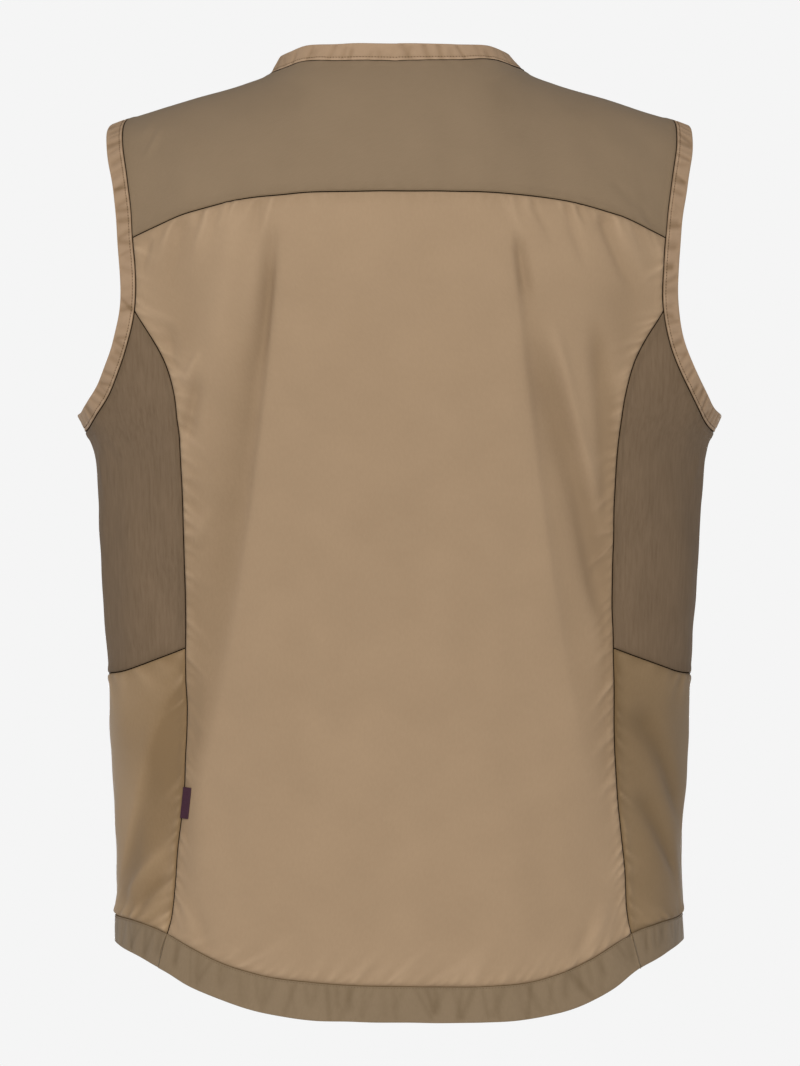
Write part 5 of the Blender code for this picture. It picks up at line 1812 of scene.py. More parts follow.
@dataclass(frozen=True)
class Thread(Finish):
    """Sewing thread, and the dark cords down in the seams, which stand for the turned edges and whose dark
    colour is painted shade: small fibres.
    """

    spread: float = 0.25
    rough_by: float = 0.06
    relief: float = 0.4
    gloss: float = 0.2
    fibre: float = 0.9
    fibre_size: float = 0.0005
    patch: float = 0.5
    patch_size: float = 0.006

    def wire(self, paint: Paint) -> None:
        """Joins the fibres' nodes to the shader.

        Args:
            paint: The material's nodes.
        """
        place = paint.place()
        fibres = paint.noise(place, self.fibre_size, 2.0)
        patches = paint.noise(place, self.patch_size, 2.0)
        self.surface(paint, [(fibres, self.fibre), (patches, self.patch)], fibres, fibres)


@dataclass(frozen=True)
class Metal(Finish):
    """Lacquered die-cast metal: soft gloss, faint casting grain and fine rubs."""

    rough_by: float = 0.10
    metallic: float = 0.85
    casting: float = 0.7
    casting_size: float = 0.0006
    rub: float = 0.5
    rub_size: float = 0.0003

    def wire(self, paint: Paint) -> None:
        """Joins the grain's nodes to the shader.

        Args:
            paint: The material's nodes.
        """
        casting = paint.noise(paint.place(), self.casting_size, 3.0)
        rubs = paint.noise(paint.place(1.0, 1.0, 0.08), self.rub_size, 2.0)
        self.surface(paint, [(casting, self.casting), (rubs, self.rub)], rubs, casting)
        paint.give({"Metallic": self.metallic})


@dataclass(frozen=True)
class Plastic(Finish):
    """Moulded nylon: slightly glossy, with a faint uneven skin."""

    spread: float = 0.15
    rough_by: float = 0.06
    gloss: float = 0.4
    skin: float = 0.8
    skin_size: float = 0.0010

    def wire(self, paint: Paint) -> None:
        """Joins the skin's nodes to the shader.

        Args:
            paint: The material's nodes.
        """
        skin = paint.noise(paint.place(), self.skin_size, 2.0)
        self.surface(paint, [(skin, self.skin)], skin, skin)


TAN = WovenCloth("tan_weave", "tan_cloth", (159, 135, 109), 0.50)
YOKE_TONE = WovenCloth("olive_weave", "olive_cloth", (135, 116, 94), 0.58, gloss=0.2)
# The hem's copy of the olive cloth paints its pucker hollows darker, as painted shade
HEM_TONE = WovenCloth("olive_weave_hem", "olive_cloth", (134, 116, 94), 0.58, spread=0.28, relief_painted_light=190.0,
                      gloss=0.2)
# Painted light: the lower side panels are one olive cloth, the left copy much lighter and the right near the
# yoke's tone, as the left side is lit more
SIDE_TONE_LEFT_PAINTED_LIGHT = WovenCloth("olive_weave_painted_light", "olive_cloth", (160, 135, 106), 0.60, spread=0.36,
                            mottle=0.14, fleck=0.15, gloss=0.15)
SIDE_TONE_RIGHT = WovenCloth("olive_weave_dark", "olive_cloth", (136, 114, 87), 0.60, spread=0.34,
                             mottle=0.14, fleck=0.15, gloss=0.15)
STRETCH = StretchCloth("stretch_knit", "stretch_cloth", (115, 96, 76), 0.80)
# The binding paints its pucker hollows, its seam line and its stitch groove darker, as painted shade
BINDING = WovenCloth("binding_weave", "binding_cloth", (165, 140, 116), 0.70, spread=0.40, mottle=0.12,
                     fleck=0.12, seam_painted_shade=0.55, relief_painted_light=260.0, sheen=0.03, gloss=0.2)
# Painted shade: the seam cords are near black, and the hem seam's cord darker than the hem, for the shadow in
# the seams
SEAM_DARK = Thread("seam_shadow_thread", "olive_cloth", (24, 16, 9), 0.90, gloss=0.0)
HEM_DARK = Thread("hem_seam_shadow_thread", "olive_cloth", (108, 88, 62), 0.85, gloss=0.05)
# The binding thread is dark, for the row's needle holes and, as painted shade, their shadow
STITCH_BINDING = Thread("stitch_thread", "binding_cloth", (66, 50, 36), 0.70, gloss=0.1)
STITCH_HEM = Thread("hem_stitch_thread", "olive_cloth", (112, 93, 70), 0.60)
TAPE = Ribbed("zip_tape_weave", "zip_tape", (122, 102, 82), 0.75)
COIL = Plastic("zip_coil_nylon", "zip_coil", (112, 94, 74), 0.42)
METAL = Metal("zip_metal_lacquer", "zip_metal", (104, 95, 84), 0.36)
RIBBON = Ribbed("purple_ribbon_weave", "purple_ribbon", (56, 22, 40), 0.60, spread=0.35, sheen=0.02)


def add_piece(name: str, mesh: bpy.types.Mesh, finish: Finish, *nodes: str) -> bpy.types.Object:
    """Puts a piece on the vest.

    Args:
        name: Its name.
        mesh: Its mesh.
        finish: Its finish.
        *nodes: The solids that it stands for.

    Returns:
        The piece.
    """
    mesh.name = name
    mesh.materials.clear()
    mesh.materials.append(finish.material())
    piece = bpy.data.objects.new(name, mesh)
    bpy.context.scene.collection.objects.link(piece)
    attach(piece, BODY)
    if nodes:
        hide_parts(*nodes)
    mesh.calc_loop_triangles()
    LOG.info("%s: %d triangles", name, len(mesh.loop_triangles))
    return piece


class Seams:
    """The seam lines of one side of the vest, laid on the form, and their runs between corners."""

    def __init__(self, side: int) -> None:
        """Lays the lines and cuts them at their corners.

        Args:
            side: 1 for the left and -1 for the right.
        """
        self.side = side
        self.mirror = np.array((side, 1, 1))
        self.lay_lines()
        self.find_corners()
        self.cut_runs()

    def lay_lines(self) -> None:
        """The lines before they are cut."""
        ring = np.array(ARMHOLE_SEAM + ARMHOLE_SEAM[:1]) * self.mirror
        self.armhole = FORM.settle(through(ring))
        points = np.array(NECK_SEAM) * self.mirror
        points[:, 0] += NECK_MIDDLE[0] * ease((points[:, 1] - NECK_SHIFT_START) / NECK_SHIFT_FADE)
        self.neck = FORM.settle(through(points))
        self.yoke_corner_back = self.armhole_at(YOKE_CORNER_BACK, 1)
        self.yoke_corner_front = self.armhole_at(YOKE_CORNER_FRONT, -1)
        self.side_corner_back = self.armhole_at(SIDE_CORNER_BACK, 1)
        self.side_corner_front = self.armhole_at(SIDE_CORNER_FRONT, -1)
        yoke = np.vstack([[self.yoke_corner_back], np.array(YOKE_SEAM_BACK) * self.mirror])
        self.yoke_back = FORM.settle(through(yoke))
        self.back_seam = self.side_seam(self.side_corner_back, 1)
        self.front_seam = self.side_seam(self.side_corner_front, -1)
        self.slant = self.round_line(SLANT_SEAM, "height", None)
        self.hem_seam = self.round_line(ROUNDS, "hem_seam", "seam_drop")
        self.hem_edge = self.round_line(ROUNDS, "hem_edge", "edge_drop")
        heights = np.linspace(CENTRE_LINE_TOP, CENTRE_LINE_FOOT, LINE_POINTS)
        self.centre_front = FORM.at_face(np.full_like(heights, FRONT_EDGE * self.side), heights, -1)

    def find_corners(self) -> None:
        """The points where the lines meet."""
        self.neck_front = meeting(self.neck, self.centre_front)
        self.neck_yoke = self.neck[nearest(self.neck, np.array(NECK_YOKE) * self.mirror)]
        self.neck_bend = self.neck[nearest(self.neck, np.array(NECK_BEND) * self.mirror)]
        self.slant_back = meeting(self.slant, self.back_seam)
        self.slant_front = meeting(self.slant, self.front_seam)
        self.hem_back = meeting(self.hem_seam, self.back_seam)
        self.hem_front = meeting(self.hem_seam, self.front_seam)
        self.edge_back = meeting(self.hem_edge, self.back_seam)
        self.edge_front = meeting(self.hem_edge, self.front_seam)
        self.hem_centre = meeting(self.hem_seam, self.centre_front)
        self.edge_centre = meeting(self.hem_edge, self.centre_front)

    def cut_runs(self) -> None:
        """The runs, named for their line; those beside a panel run up, the others from front to back."""
        side_back, side_front = self.side_corner_back, self.side_corner_front
        front = nearest(self.armhole, self.yoke_corner_front)
        back = nearest(self.armhole, self.yoke_corner_back)
        self.over_shoulder = np.concatenate([self.armhole[front:-1], self.armhole[:back + 1]])
        self.armhole_back = stretch(self.armhole, side_back, self.yoke_corner_back)
        self.underarm = stretch(self.armhole, side_front, side_back)
        self.armhole_front = stretch(self.armhole, side_front, self.yoke_corner_front)
        self.upper_back = stretch(self.back_seam, self.slant_back, side_back)
        self.lower_back = stretch(self.back_seam, self.hem_back, self.slant_back)
        self.upper_front = stretch(self.front_seam, self.slant_front, side_front)
        self.lower_front = stretch(self.front_seam, self.hem_front, self.slant_front)
        self.slant_run = stretch(self.slant, self.slant_front, self.slant_back)
        self.hem_front_run = stretch(self.hem_seam, self.hem_centre, self.hem_front)
        self.hem_side_run = stretch(self.hem_seam, self.hem_front, self.hem_back)
        self.edge_front_run = stretch(self.hem_edge, self.edge_centre, self.edge_front)
        self.edge_side_run = stretch(self.hem_edge, self.edge_front, self.edge_back)
        self.neck_front_run = stretch(self.neck, self.neck_front, self.neck_yoke)
        self.neck_side_run = stretch(self.neck, self.neck_yoke, self.neck_bend)
        middle = (self.neck_yoke + self.yoke_corner_front) / 2 + np.array(YOKE_FRONT_BOW)
        self.yoke_front = FORM.settle(through(np.array([self.neck_yoke, middle, self.yoke_corner_front])))
        self.zip_edge = stretch(self.centre_front, self.hem_centre, self.neck_front)

    def armhole_at(self, height: float, facing: int) -> np.ndarray:
        """The point of the armhole seam at a height, on its back or front half."""
        half = self.armhole[self.armhole[:, 1] * facing > ARMHOLE_HALVES]
        return half[np.argmin(np.abs(half[:, 2] - height))]

    def side_seam(self, corner: np.ndarray, facing: int) -> np.ndarray:
        """The side seam on the back or front, from the armhole down past the hem."""
        points = FORM.at_face(column(SIDE_SEAM, "across") * self.side, column(SIDE_SEAM, "height"), facing)
        return FORM.settle(through(np.vstack([[corner], points])))

    def round_line(self, rows: tuple, name: str, drop: str | None) -> np.ndarray:
        """Lays a line round the side from the front to the back.

        Args:
            rows: A table of turns and heights.
            name: The column of its heights.
            drop: The column of how much lower it runs on the right.

        Returns:
            The line's points.
        """
        turns, heights = column(rows, "turn"), column(rows, name)
        fine = np.linspace(turns.min(), turns.max(), LINE_POINTS)
        if self.side < 0 and drop:
            heights = heights - column(rows, drop)
        return even(FORM.at_turn(fine, smooth(fine, turns, heights)) * self.mirror, LINE_POINTS)

    def ring(self, spacing: float) -> np.ndarray:
        """The armhole seam as an even ring, its last point short of its first."""
        return even(self.armhole, round(lengths(self.armhole)[-1] / spacing) + 1)[:-1]


class Across:
    """The runs across the back, from the left side to the right."""

    def __init__(self, left: Seams, right: Seams) -> None:
        """Joins the lines of both sides.

        Args:
            left: The seams of the left side.
            right: Those of the right side.
        """
        self.yoke = self.between(left, right, "yoke_back", "yoke_corner_back")
        self.hem = self.between(left, right, "hem_seam", "hem_back")
        self.edge = self.between(left, right, "hem_edge", "edge_back")
        self.neck = stretch(joined(left.neck[::-1], right.neck), left.neck_bend, right.neck_bend)

    @staticmethod
    def between(left: Seams, right: Seams, line: str, corner: str) -> np.ndarray:
        """Joins a line of both sides at the middle of the back.

        Args:
            left: The seams of the left side.
            right: Those of the right side.
            line: Name of the line, which ends at the middle of the back.
            corner: Name of the corner where the run starts and ends.

        Returns:
            The run, from left to right.
        """
        whole = joined(getattr(left, line), getattr(right, line)[::-1])
        return stretch(whole, getattr(left, corner), getattr(right, corner))


@dataclass
class Panel:
    """A panel of cloth: which solid it stands for, its grid and its finish."""

    node: str
    kind: Kind
    side: int
    patch: Patch
    finish: Finish
    hangs_from: tuple[str, ...]

    def build(self) -> "Panel":
        """Returns:
            The panel, which now knows its outer face.
        """
        points = self.patch.points
        gathers = np.zeros(points.shape[:2])
        for number, gather in enumerate(GATHERS):
            if gather.kind == self.kind:
                gathers += gather_lift(self.patch, gather, self.side, number * GATHER_SEEDS + self.side)
        nearest_edge = np.min([self.patch.from_edge(edge) for edge in Edge], axis=0)
        roll = SEAM_ROLL * np.exp(-(nearest_edge / SEAM_ROLL_WIDTH) ** 2)
        turned = ALLOWANCE_LIFT * (1 - ease((nearest_edge - ALLOWANCE) / ALLOWANCE_FADE))
        folds, tone = fold_lift(points)
        lift = folds + wave_lift(points) + gathers + turned - roll
        self.outer = points + self.patch.normals * lift[..., None]
        # Painted light and shade: darker near the seams, and the tone follows the puckers and folds
        grain = Grain(np.exp(-nearest_edge / SEAM_SHADE), gathers * PUCKER_PAINTED_LIGHT + tone)
        mesh = shell_mesh(self.node, self.patch, lift, grain)
        piece = add_piece(f"{self.node}_cloth", mesh, self.finish, self.node)
        width, length, area = self.patch.cut()
        LOG.info("%s is cut %.3f by %.3f m, %.4f square metres", self.node, width, length, area)
        return self

    def line(self, number: int) -> Path:
        """The line of the outer face a few columns in from its first one."""
        return Path(self.outer[:, number], self.patch.normals[:, number])


@dataclass
class Panels:
    """The yoke, the back, the fronts and the side panels."""

    left: Seams
    right: Seams
    across: Across
    back_spacing: float = 0.00178
    yoke_spacing: float = 0.0019
    front_spacing: float = 0.0025
    side_spacing: float = 0.0022
    stitch_column: int = 5

    def build(self) -> None:
        """Makes every panel."""
        self.add_yoke()
        self.add_back()
        self.fronts = [self.add_front(self.left, "left"), self.add_front(self.right, "right")]
        self.add_sides(self.left, "left", SIDE_TONE_LEFT_PAINTED_LIGHT)
        self.add_sides(self.right, "right", SIDE_TONE_RIGHT)

    def add_yoke(self) -> None:
        """The shoulder piece, one strip round the neck from front seam to front seam."""
        left, right = self.left, self.right
        shares = course(left.over_shoulder, self.across.yoke, left.over_shoulder).shares
        outer = Course([left.over_shoulder, self.across.yoke, right.over_shoulder[::-1]], shares)
        inner = Course([left.neck_side_run, self.across.neck, right.neck_side_run[::-1]], shares)
        ends = [course(s.yoke_front[::-1]) for s in (left, right)]
        patch = Patch(outer, inner, *ends, self.yoke_spacing)
        Panel("yoke", Kind.YOKE, 1, patch, YOKE_TONE, ()).build()

    def add_back(self) -> None:
        """The centre back panel."""
        sides = [course(s.lower_back, s.upper_back, s.armhole_back) for s in (self.left, self.right)]
        patch = Patch(course(self.across.hem), course(self.across.yoke), *sides, self.back_spacing)
        Panel("back", Kind.BACK, 1, patch, TAN, ("yoke_cloth",)).build()

    def add_front(self, seams: Seams, label: str) -> Panel:
        """Makes a front panel, from the zip to the side seam.

        Args:
            seams: The seams of its side.
            label: The side's name.

        Returns:
            The panel.
        """
        top = course(seams.neck_front_run, seams.yoke_front)
        side = course(seams.lower_front, seams.upper_front, seams.armhole_front)
        patch = Patch(course(seams.hem_front_run), top, course(seams.zip_edge), side, self.front_spacing)
        return Panel(f"front_{label}", Kind.FRONT, seams.side, patch, TAN, ("yoke_cloth",)).build()

    def add_sides(self, seams: Seams, label: str, lower_tone: Finish) -> None:
        """Makes the upper and lower side panels, from the front side seam to the back one.

        Args:
            seams: The seams of their side.
            label: The side's name.
            lower_tone: The finish of the lower one.
        """
        slant, spacing = course(seams.slant_run), self.side_spacing
        sides = course(seams.upper_front), course(seams.upper_back)
        upper = Patch(slant, course(seams.underarm), *sides, spacing)
        held = ("back_cloth", f"front_{label}_cloth")
        Panel(f"side_upper_{label}", Kind.SIDE_UPPER, seams.side, upper, STRETCH, held).build()
        sides = course(seams.lower_front), course(seams.lower_back)
        lower = Patch(course(seams.hem_side_run), slant, *sides, spacing)
        held = (f"side_upper_{label}_cloth",)
        Panel(f"side_lower_{label}", Kind.SIDE_LOWER, seams.side, lower, lower_tone, held).build()


@dataclass
class Folded:
    """The folded strips: armhole bindings, neck binding and hem bands."""

    left: Seams
    right: Seams
    across: Across
    spacing: float = 0.0010
    hem_spacing: float = 0.0015
    hem_thickness: float = 0.0016
    neck_tuck: float = 0.0008
    armhole_seed: int = 11
    neck_seed: int = 5

    def build(self) -> None:
        """Makes every strip and keeps its stitch lines."""
        self.binding_stitches: list[Path] = []
        self.hem_stitches: list[Path] = []
        self.add_armhole(self.left, "left")
        self.add_armhole(self.right, "right")
        self.add_neck()
        self.add_hems()

    def add_armhole(self, seams: Seams, label: str) -> None:
        """Makes the strip round an armhole, which goes on from the panels into the opening.

        Args:
            seams: The seams of its side.
            label: The side's name.
        """
        line = seams.ring(self.spacing)
        low = FORM.beside(line, -seams.side * SEAM_GAP / 2)
        high = FORM.beside(line, -seams.side * (BINDING_WIDTH + SEAM_GAP / 2))
        out = FORM.normal(low)
        shift = out * (BINDING_PROUD - BINDING_WALL / 2 + crease_lift(low))[:, None]
        strip = Strip(low + shift, high + shift, out, BINDING_WALL, True)
        strip.dress(ARMHOLE_DRESSING, self.armhole_seed + seams.side)
        name = f"armhole_binding_{label}"
        piece = add_piece(f"{name}_cloth", strip.mesh(name, False), BINDING, name)
        self.binding_stitches += strip.stitch_lines()

    def add_neck(self) -> None:
        """The strip that stands on the neck seam, open at the centre front."""
        left, right = self.left, self.right
        line = joined(left.neck_front_run, left.neck_side_run, self.across.neck,
                      right.neck_side_run[::-1], right.neck_front_run[::-1])
        line = even(line, round(lengths(line)[-1] / self.spacing))
        from_middle = (line - np.array(NECK_MIDDLE)) * (1, 1, 0)
        turn = np.degrees(np.arctan2(from_middle[:, 1], np.abs(from_middle[:, 0])))
        turns, names = column(NECK_STRIP, "turn"), NeckStrip._fields[1:]
        rise, lean, right_drop, right_lean = (smooth(turn, turns, column(NECK_STRIP, name)) for name in names)
        on_right = from_middle[:, 0] < 0
        rise -= right_drop * on_right
        lean += right_lean * on_right
        stand = np.array([0.0, 0.0, 1.0]) * rise[:, None] - unit(from_middle) * lean[:, None]
        normal = FORM.normal(line)
        out = unit(np.cross(stand, np.gradient(line, axis=0)))
        out *= np.sign((out * normal).sum(-1, keepdims=True))
        seat = line - unit(stand) * self.neck_tuck - normal * CLOTH / 2
        strip = Strip(seat, line + stand, out, BINDING_WALL, False)
        strip.dress(NECK_DRESSING, self.neck_seed)
        piece = add_piece("neck_binding_cloth", strip.mesh("neck_binding", False), BINDING, "neck_binding")
        self.binding_stitches += strip.stitch_lines()
        self.neck_foot = strip.foot_lines()

    def add_hems(self) -> None:
        """The five stretches of the hem band."""
        self.add_hem("hem_back", self.across.hem, self.across.edge)
        for seams, label in ((self.left, "left"), (self.right, "right")):
            self.add_hem(f"hem_front_{label}", seams.hem_front_run, seams.edge_front_run)
            self.add_hem(f"hem_side_{label}", seams.hem_side_run, seams.edge_side_run)

    def add_hem(self, node: str, seam: np.ndarray, edge: np.ndarray) -> None:
        """Makes one stretch of the hem band.

        Args:
            node: The solid that it stands for.
            seam: The hem seam along it.
            edge: Its lower edge.
        """
        count = round(lengths(seam)[-1] / self.hem_spacing)
        seam, edge = even(seam, count), even(edge, count)
        for line in (seam, edge):
            ends = unit(line[[1, -2]] - line[[0, -1]])
            line[[0, -1]] += ends * SEAM_GAP / 2
        seam = seam + unit(edge - seam) * SEAM_GAP / 2
        out = FORM.normal(seam)
        middle = out * (HEM_PROUD - (CLOTH + HEM_PROUD) / 2)
        strip = Strip(seam + middle, edge + middle, out, self.hem_thickness, False)
        strip.dress(HEM_DRESSING, len(node))
        add_piece(f"{node}_cloth", strip.mesh(node, True), HEM_TONE, node)
        path = strip.stitch_lines()[0]
        lifted = path.points + out * crease_lift(path.points)[:, None]
        self.hem_stitches.append(Path(lifted, path.out))


@dataclass
class Sewing:
    """What holds the pieces together: the cloth's turned edges down in each seam, as dark cords whose dark
    colour is painted shade, and the stitches.
    """

    left: Seams
    right: Seams
    across: Across
    spacing: float = 0.0025
    sink: float = 0.00060
    radius: float = 0.00056
    hem_sink: float = 0.00045
    hem_radius: float = 0.00032
    hem_join_sink: float = 0.00015
    sides: int = 6
    pitch: float = 0.0022
    stitch: tuple[float, float, float] = (0.0011, 0.00064, 0.00056)
    wander: float = 0.10
    least_points: int = 3
    binding_seed: int = 3
    hem_seed: int = 4

    def laid(self, line: np.ndarray, sink: float, closed: bool = False) -> Path:
        """Lays a seam's path a little under the cloth's face.

        Args:
            line: The seam on the form.
            sink: How far under the face.
            closed: Whether it is a ring, whose last point repeats its first.

        Returns:
            The path.
        """
        line = even(line, max(self.least_points, round(lengths(line)[-1] / self.spacing)))
        line = line[:-1] if closed else line
        out = FORM.normal(line)
        return Path(line + out * (crease_lift(line) - sink)[:, None], out, closed)

    def build(self, folded: Folded, fronts: list[Panel], stitch_column: int) -> None:
        """Makes the seams' dark cords, turned edges coloured with painted shade, and the rows of stitches.

        Args:
            folded: The strips, with their stitch lines.
            fronts: The front panels, which are stitched beside the zip.
            stitch_column: The column of their grids where that row is.
        """
        hem = joined(self.left.hem_front_run, self.left.hem_side_run, self.across.hem,
                     self.right.hem_side_run[::-1], self.right.hem_front_run[::-1])
        shadow_cords, faint_shadow_cords = [self.laid(self.across.yoke, self.sink)], [self.laid(hem, self.hem_sink)]
        for s in (self.left, self.right):
            runs = [stretch(s.back_seam, s.hem_back, s.side_corner_back), s.yoke_front, s.slant_run,
                    stretch(s.front_seam, s.hem_front, s.side_corner_front)]
            shadow_cords += [self.laid(run, self.sink) for run in runs]
            shadow_cords.append(self.laid(s.armhole, self.sink, True))
            joins = [stretch(s.back_seam, s.edge_back, s.hem_back),
                     stretch(s.front_seam, s.edge_front, s.hem_front)]
            faint_shadow_cords += [self.laid(run, self.hem_join_sink) for run in joins]
        shadow_cords += folded.neck_foot
        self.add_cord("seam_edges_and_shadow", shadow_cords, self.radius, SEAM_DARK)
        self.add_cord("hem_seam_edge_and_shadow", faint_shadow_cords, self.hem_radius, HEM_DARK)
        beside_zip = [front.line(stitch_column) for front in fronts]
        rows = folded.binding_stitches + beside_zip
        self.add_stitches("binding_stitches", rows, STITCH_BINDING, self.binding_seed)
        self.add_stitches("hem_stitches", folded.hem_stitches, STITCH_HEM, self.hem_seed)

    def add_cord(self, name: str, paths: list[Path], radius: float, finish: Finish) -> None:
        """Draws round cords along paths as one piece.

        Args:
            name: Its name.
            paths: The paths.
            radius: Of the cords.
            finish: Their finish.
        """
        tree = cord_tree(radius, self.sides)
        add_piece(name, tree.grow(path_object(name, paths), finish.material()), finish)

    def add_stitches(self, name: str, paths: list[Path], finish: Finish, seed: int) -> None:
        """Sews rows of stitches as one piece.

        Args:
            name: Its name.
            paths: The rows.
            finish: The thread's.
            seed: For how the stitches are turned.
        """
        tree = bead_tree(name, self.pitch, self.stitch, 0.0, 0.0, self.wander, seed)
        add_piece(name, tree.grow(path_object(name, paths), finish.material()), finish)


@dataclass
class Zip:
    """The closed centre front zip: tapes, coils, pin box, slider and pull."""

    left: Seams
    chain_half: float = 0.0027
    tape_width: float = 0.0120
    tape_sink: float = 0.0018
    tape_depth: float = 0.0008
    tape_past_seam: float = 0.0095
    tape_off_hem: float = 0.0030
    box_height: float = 0.0080
    top: float = -0.0600
    pitch: float = 0.0013
    row_spacing: float = 0.0020
    tape_columns: int = 5
    core_half: float = 0.0024
    core_sink: float = 0.0023
    core_depth: float = 0.0006
    tooth: tuple[float, float, float] = (0.00082, 0.0033, 0.0012)
    tooth_sink: float = 0.0015
    tooth_aside: float = 0.00105
    tooth_turn: float = 0.12
    coil_step: float = 0.001
    coil_seed: int = 1

    def strip(self, name: str, low: float, high: float, foot: float, top: float, sink: float,
              depth: float) -> bpy.types.Mesh:
        """Makes a flat strip up the centre front.

        Args:
            name: Name of its mesh.
            low: Its nearer edge, across.
            high: Its farther edge.
            foot: Height of its lower end.
            top: Height of its upper end.
            sink: How far its face is under the form.
            depth: Its thickness.

        Returns:
            The mesh.
        """
        rows = np.linspace(foot, top, round((top - foot) / self.row_spacing))
        places = np.linspace(low, high, self.tape_columns)
        across, heights = np.meshgrid(places, rows)
        points = FORM.at_face(across.ravel(), heights.ravel(), -1)
        out = FORM.normal(points)
        face, rear = points - out * sink, points - out * (sink + depth)
        count, wide = len(rows), self.tape_columns
        number = np.arange(count * wide).reshape(count, wide)
        rim = rim_of(number)
        after = np.roll(rim, -1)
        sides = np.stack([after, rim, rim + count * wide, after + count * wide], axis=-1)
        faces = [flat_faces(count, wide, 0), flat_faces(count, wide, count * wide)[:, ::-1], sides]
        flat = np.stack([heights.ravel(), across.ravel()], axis=-1)
        none = np.zeros(2 * count * wide)
        points, places = np.concatenate([face, rear]), np.concatenate([flat, flat])
        return make_mesh(name, points, faces, places, Grain(none, none))

    def build(self) -> None:
        """Makes the tapes and coils, and dresses the solids that stay."""
        foot = self.left.edge_centre[2] + self.tape_off_hem
        top = self.left.neck_front[2] + self.tape_past_seam
        inner = self.chain_half + SEAM_GAP
        for side, label in ((1, "left"), (-1, "right")):
            edges = sorted((side * inner, side * (inner + self.tape_width)))
            name = f"zip_tape_{label}"
            mesh = self.strip(name, *edges, foot, top, self.tape_sink, self.tape_depth)
            piece, holder = add_piece(f"{name}_weave", mesh, TAPE, name), f"front_{label}_cloth"
        self.add_coils(foot + self.box_height + SEAM_GAP)
        for name, finish in (("zip_box", COIL), ("zip_slider", METAL), ("zip_pull", METAL)):
            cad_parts[name].material_slots[0].material = finish.material()
            LOG.info("%s: the solid, in %s", name, finish.name)

    def add_coils(self, foot: float) -> None:
        """Makes the two rows of coil, meshed over a narrow core, as one piece.

        Args:
            foot: Height where they start.
        """
        heights = np.arange(foot + self.pitch, self.top, self.coil_step)
        line = FORM.at_face(np.zeros_like(heights), heights, -1)
        out = FORM.normal(line)
        half, deep = self.core_half, (self.core_sink, self.core_depth)
        meshes = [self.strip("core", -half, half, foot, self.top, *deep)]
        for side in (1, -1):
            lag = self.pitch * (1 - side) / 4
            path = Path(along(line, lengths(line)[:-2] + lag) - out[:-2] * self.tooth_sink, out[:-2])
            tree = bead_tree("coil", self.pitch, self.tooth, -side * self.tooth_aside, self.tooth_turn * side,
                             0.0, self.coil_seed)
            meshes.append(tree.grow(path_object("coil", [path]), COIL.material()))
        add_piece("zip_coils", merged("zip_coils", meshes), COIL, "zip_chain")


def merged(name: str, meshes: list[bpy.types.Mesh]) -> bpy.types.Mesh:
    """Joins meshes into one.

    Args:
        name: Its name.
        meshes: The meshes, which are removed.

    Returns:
        The joined mesh.
    """
    points, faces, start = [], [], 0
    for mesh in meshes:
        found = np.zeros(len(mesh.vertices) * 3, dtype=np.float32)
        mesh.vertices.foreach_get("co", found)
        points.append(found.reshape(-1, 3))
        faces += [[corner + start for corner in face.vertices] for face in mesh.polygons]
        start += len(mesh.vertices)
        bpy.data.meshes.remove(mesh)
    made = bpy.data.meshes.new(name)
    made.from_pydata(np.concatenate(points).tolist(), [], faces)
    made.shade_smooth()
    return made


@dataclass
class SeamTab:
    """The folded ribbon caught in the left side seam, lying on the back panel."""

    left: Seams
    top: float = -0.5180
    foot: float = -0.5405
    rows: int = 90
    wide: float = 0.0068
    off: float = 0.0013
    thickness: float = 0.0017
    seed: int = 2

    def build(self) -> None:
        """Makes the ribbon, ribbed across its length."""
        seam = self.left.back_seam
        top, foot = (seam[np.argmin(np.abs(seam[:, 2] - height))] for height in (self.top, self.foot))
        line = even(stretch(seam, top, foot), self.rows)
        out = FORM.normal(line)
        across = unit(np.cross(foot - top, out))
        across *= -np.sign(across[:, :1])
        base = line + out * (crease_lift(line) + self.off)[:, None]
        strip = Strip(base, base + across * self.wide, out, self.thickness, False)
        strip.dress(RIBBON_DRESSING, self.seed)
        piece = add_piece("seam_tab_ribbon", strip.mesh("seam_tab", False), RIBBON, "seam_tab")


class Softbox(NamedTuple):
    """A square light that faces the vest."""

    name: str
    place: tuple[float, float, float]
    size: float
    power: float


SOFTBOXES = (
    Softbox("key_softbox", (1.5, 5.6, 3.2), 1.4, 201.0),
    Softbox("fill_softbox", (-2.0, 6.2, 1.0), 1.6, 62.0),
    Softbox("top_softbox", (0.3, 1.8, 4.6), 2.0, 56.0),
    Softbox("left_softbox", (5.0, 1.5, 0.3), 2.0, 18.0),
    Softbox("right_softbox", (-5.0, 1.5, 0.3), 2.0, 16.0),
    Softbox("front_softbox", (0.0, -5.8, -0.5), 1.8, 260.0),
)


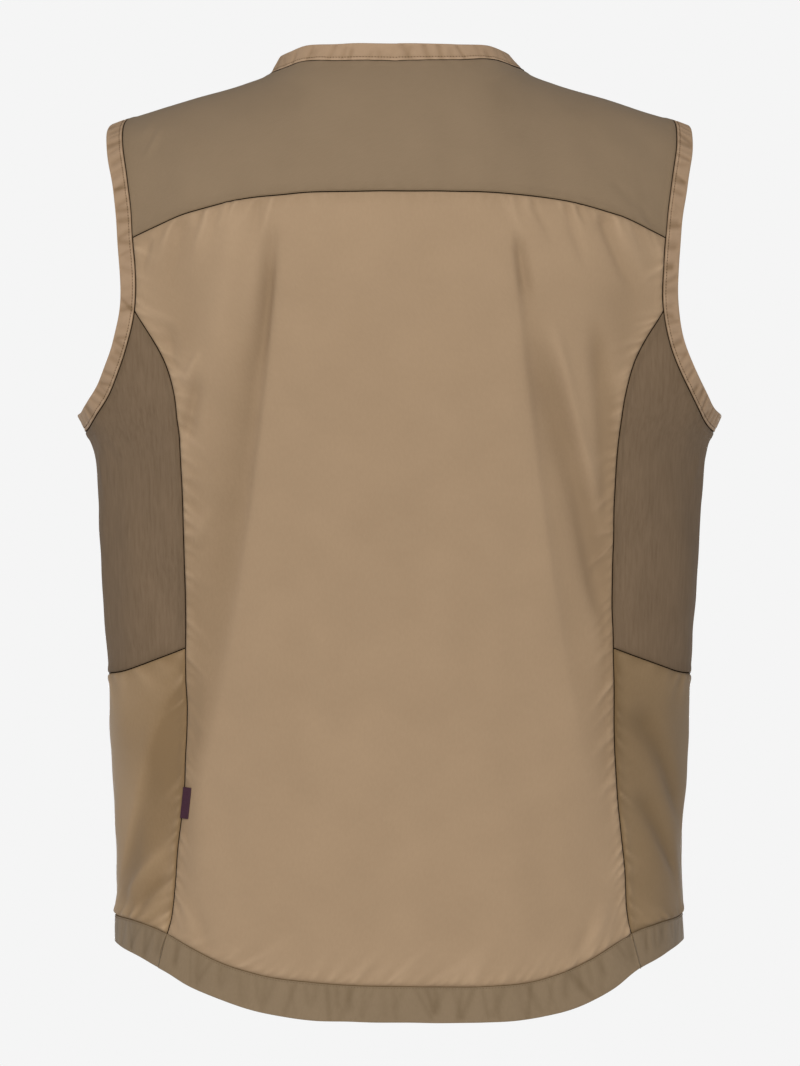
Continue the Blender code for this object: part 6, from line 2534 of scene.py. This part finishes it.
@dataclass
class Studio:
    """A plain pale room, soft lights and the camera."""

    room_radius: float = 16.0
    floor: float = -1.60
    wall_top: float = 1.2
    segments: int = 96
    pale: tuple[int, int, int] = (245, 245, 245)
    world: float = 0.12
    pixel: float = 0.70 / 960
    middle_row: float = 533.0
    neck_row: float = 74.0
    distance: float = 8.0
    sensor: float = 36.0
    picture_height: int = 1066
    floor_glow: float = 0.30
    wall_glow: float = 1.0
    lit_point: tuple[float, float, float] = (0.0, 0.0, -0.33)

    def build(self) -> None:
        """Makes the room, lights and camera."""
        self.add_room()
        for softbox in SOFTBOXES:
            self.add_light(softbox)
        self.add_camera()
        bpy.context.scene.view_settings.view_transform = "Standard"

    def add_room(self) -> None:
        """The floor, the round wall and the sky above it."""
        turn = np.linspace(0.0, math.tau, self.segments, endpoint=False)
        circle = np.stack([np.cos(turn), np.sin(turn)], axis=-1) * self.room_radius
        low = [(x, y, self.floor) for x, y in circle]
        high = [(x, y, self.wall_top) for x, y in circle]
        count = self.segments
        around = [(i, i + count, (i + 1) % count + count, (i + 1) % count) for i in range(count)]
        for name, points, faces, glow in (("studio_floor", low, [tuple(range(count))], self.floor_glow),
                                          ("studio_wall", low + high, around, self.wall_glow)):
            mesh = bpy.data.meshes.new(name)
            mesh.from_pydata(points, [], faces)
            mesh.materials.append(self.pale_material(name, glow))
            stage = bpy.data.objects.new(name, mesh)
            bpy.context.scene.collection.objects.link(stage)
        world = bpy.data.worlds.new("studio")
        world.use_nodes = True
        world.node_tree.nodes["Background"].inputs["Color"].default_value = (self.world,) * 3 + (1.0,)
        bpy.context.scene.world = world

    def pale_material(self, name: str, glow: float) -> bpy.types.Material:
        """Makes pale paint that also glows softly, so that it looks even.

        Args:
            name: Its name.
            glow: The share of its light that is its own.

        Returns:
            The material.
        """
        material = bpy.data.materials.new(name)
        Paint(material).give({
            "Base Color": linear(self.pale, 1.0 - glow),
            "Roughness": 0.9,
            "Specular IOR Level": 0.0,
            "Emission Color": linear(self.pale),
            "Emission Strength": glow,
        })
        return material

    def add_light(self, softbox: Softbox) -> None:
        """Hangs a softbox.

        Args:
            softbox: Its row of the table.
        """
        light = bpy.data.lights.new(softbox.name, "AREA")
        light.size, light.energy = softbox.size, softbox.power
        lamp = bpy.data.objects.new(softbox.name, light)
        lamp.location = softbox.place
        way = Vector(self.lit_point) - lamp.location
        lamp.rotation_euler = way.to_track_quat("-Z", "Y").to_euler()
        bpy.context.scene.collection.objects.link(lamp)

    def add_camera(self) -> None:
        """The camera, looking level at the back."""
        camera = bpy.data.cameras.new("camera")
        camera.sensor_fit = "VERTICAL"
        camera.sensor_height = self.sensor
        camera.lens = self.distance * self.sensor / (self.picture_height * self.pixel)
        camera.shift_x = 0.5 / self.picture_height
        view = bpy.data.objects.new("camera", camera)
        view.location = (0.0, self.distance, (self.neck_row - self.middle_row) * self.pixel)
        turn = Matrix.Rotation(math.pi, 3, "Z") @ Matrix.Rotation(math.pi / 2, 3, "X")
        view.rotation_euler = turn.to_euler()
        bpy.context.scene.collection.objects.link(view)
        bpy.context.scene.camera = view


def main() -> None:
    """Dresses the vest."""
    logging.basicConfig(level=logging.INFO, format="%(name)s: %(message)s")
    left, right = Seams(1), Seams(-1)
    across = Across(left, right)
    Studio().build()
    panels = Panels(left, right, across)
    panels.build()
    folded = Folded(left, right, across)
    folded.build()
    Sewing(left, right, across).build(folded, panels.fronts, panels.stitch_column)
    Zip(left).build()
    SeamTab(left).build()


if __name__ == "__main__":
    main()
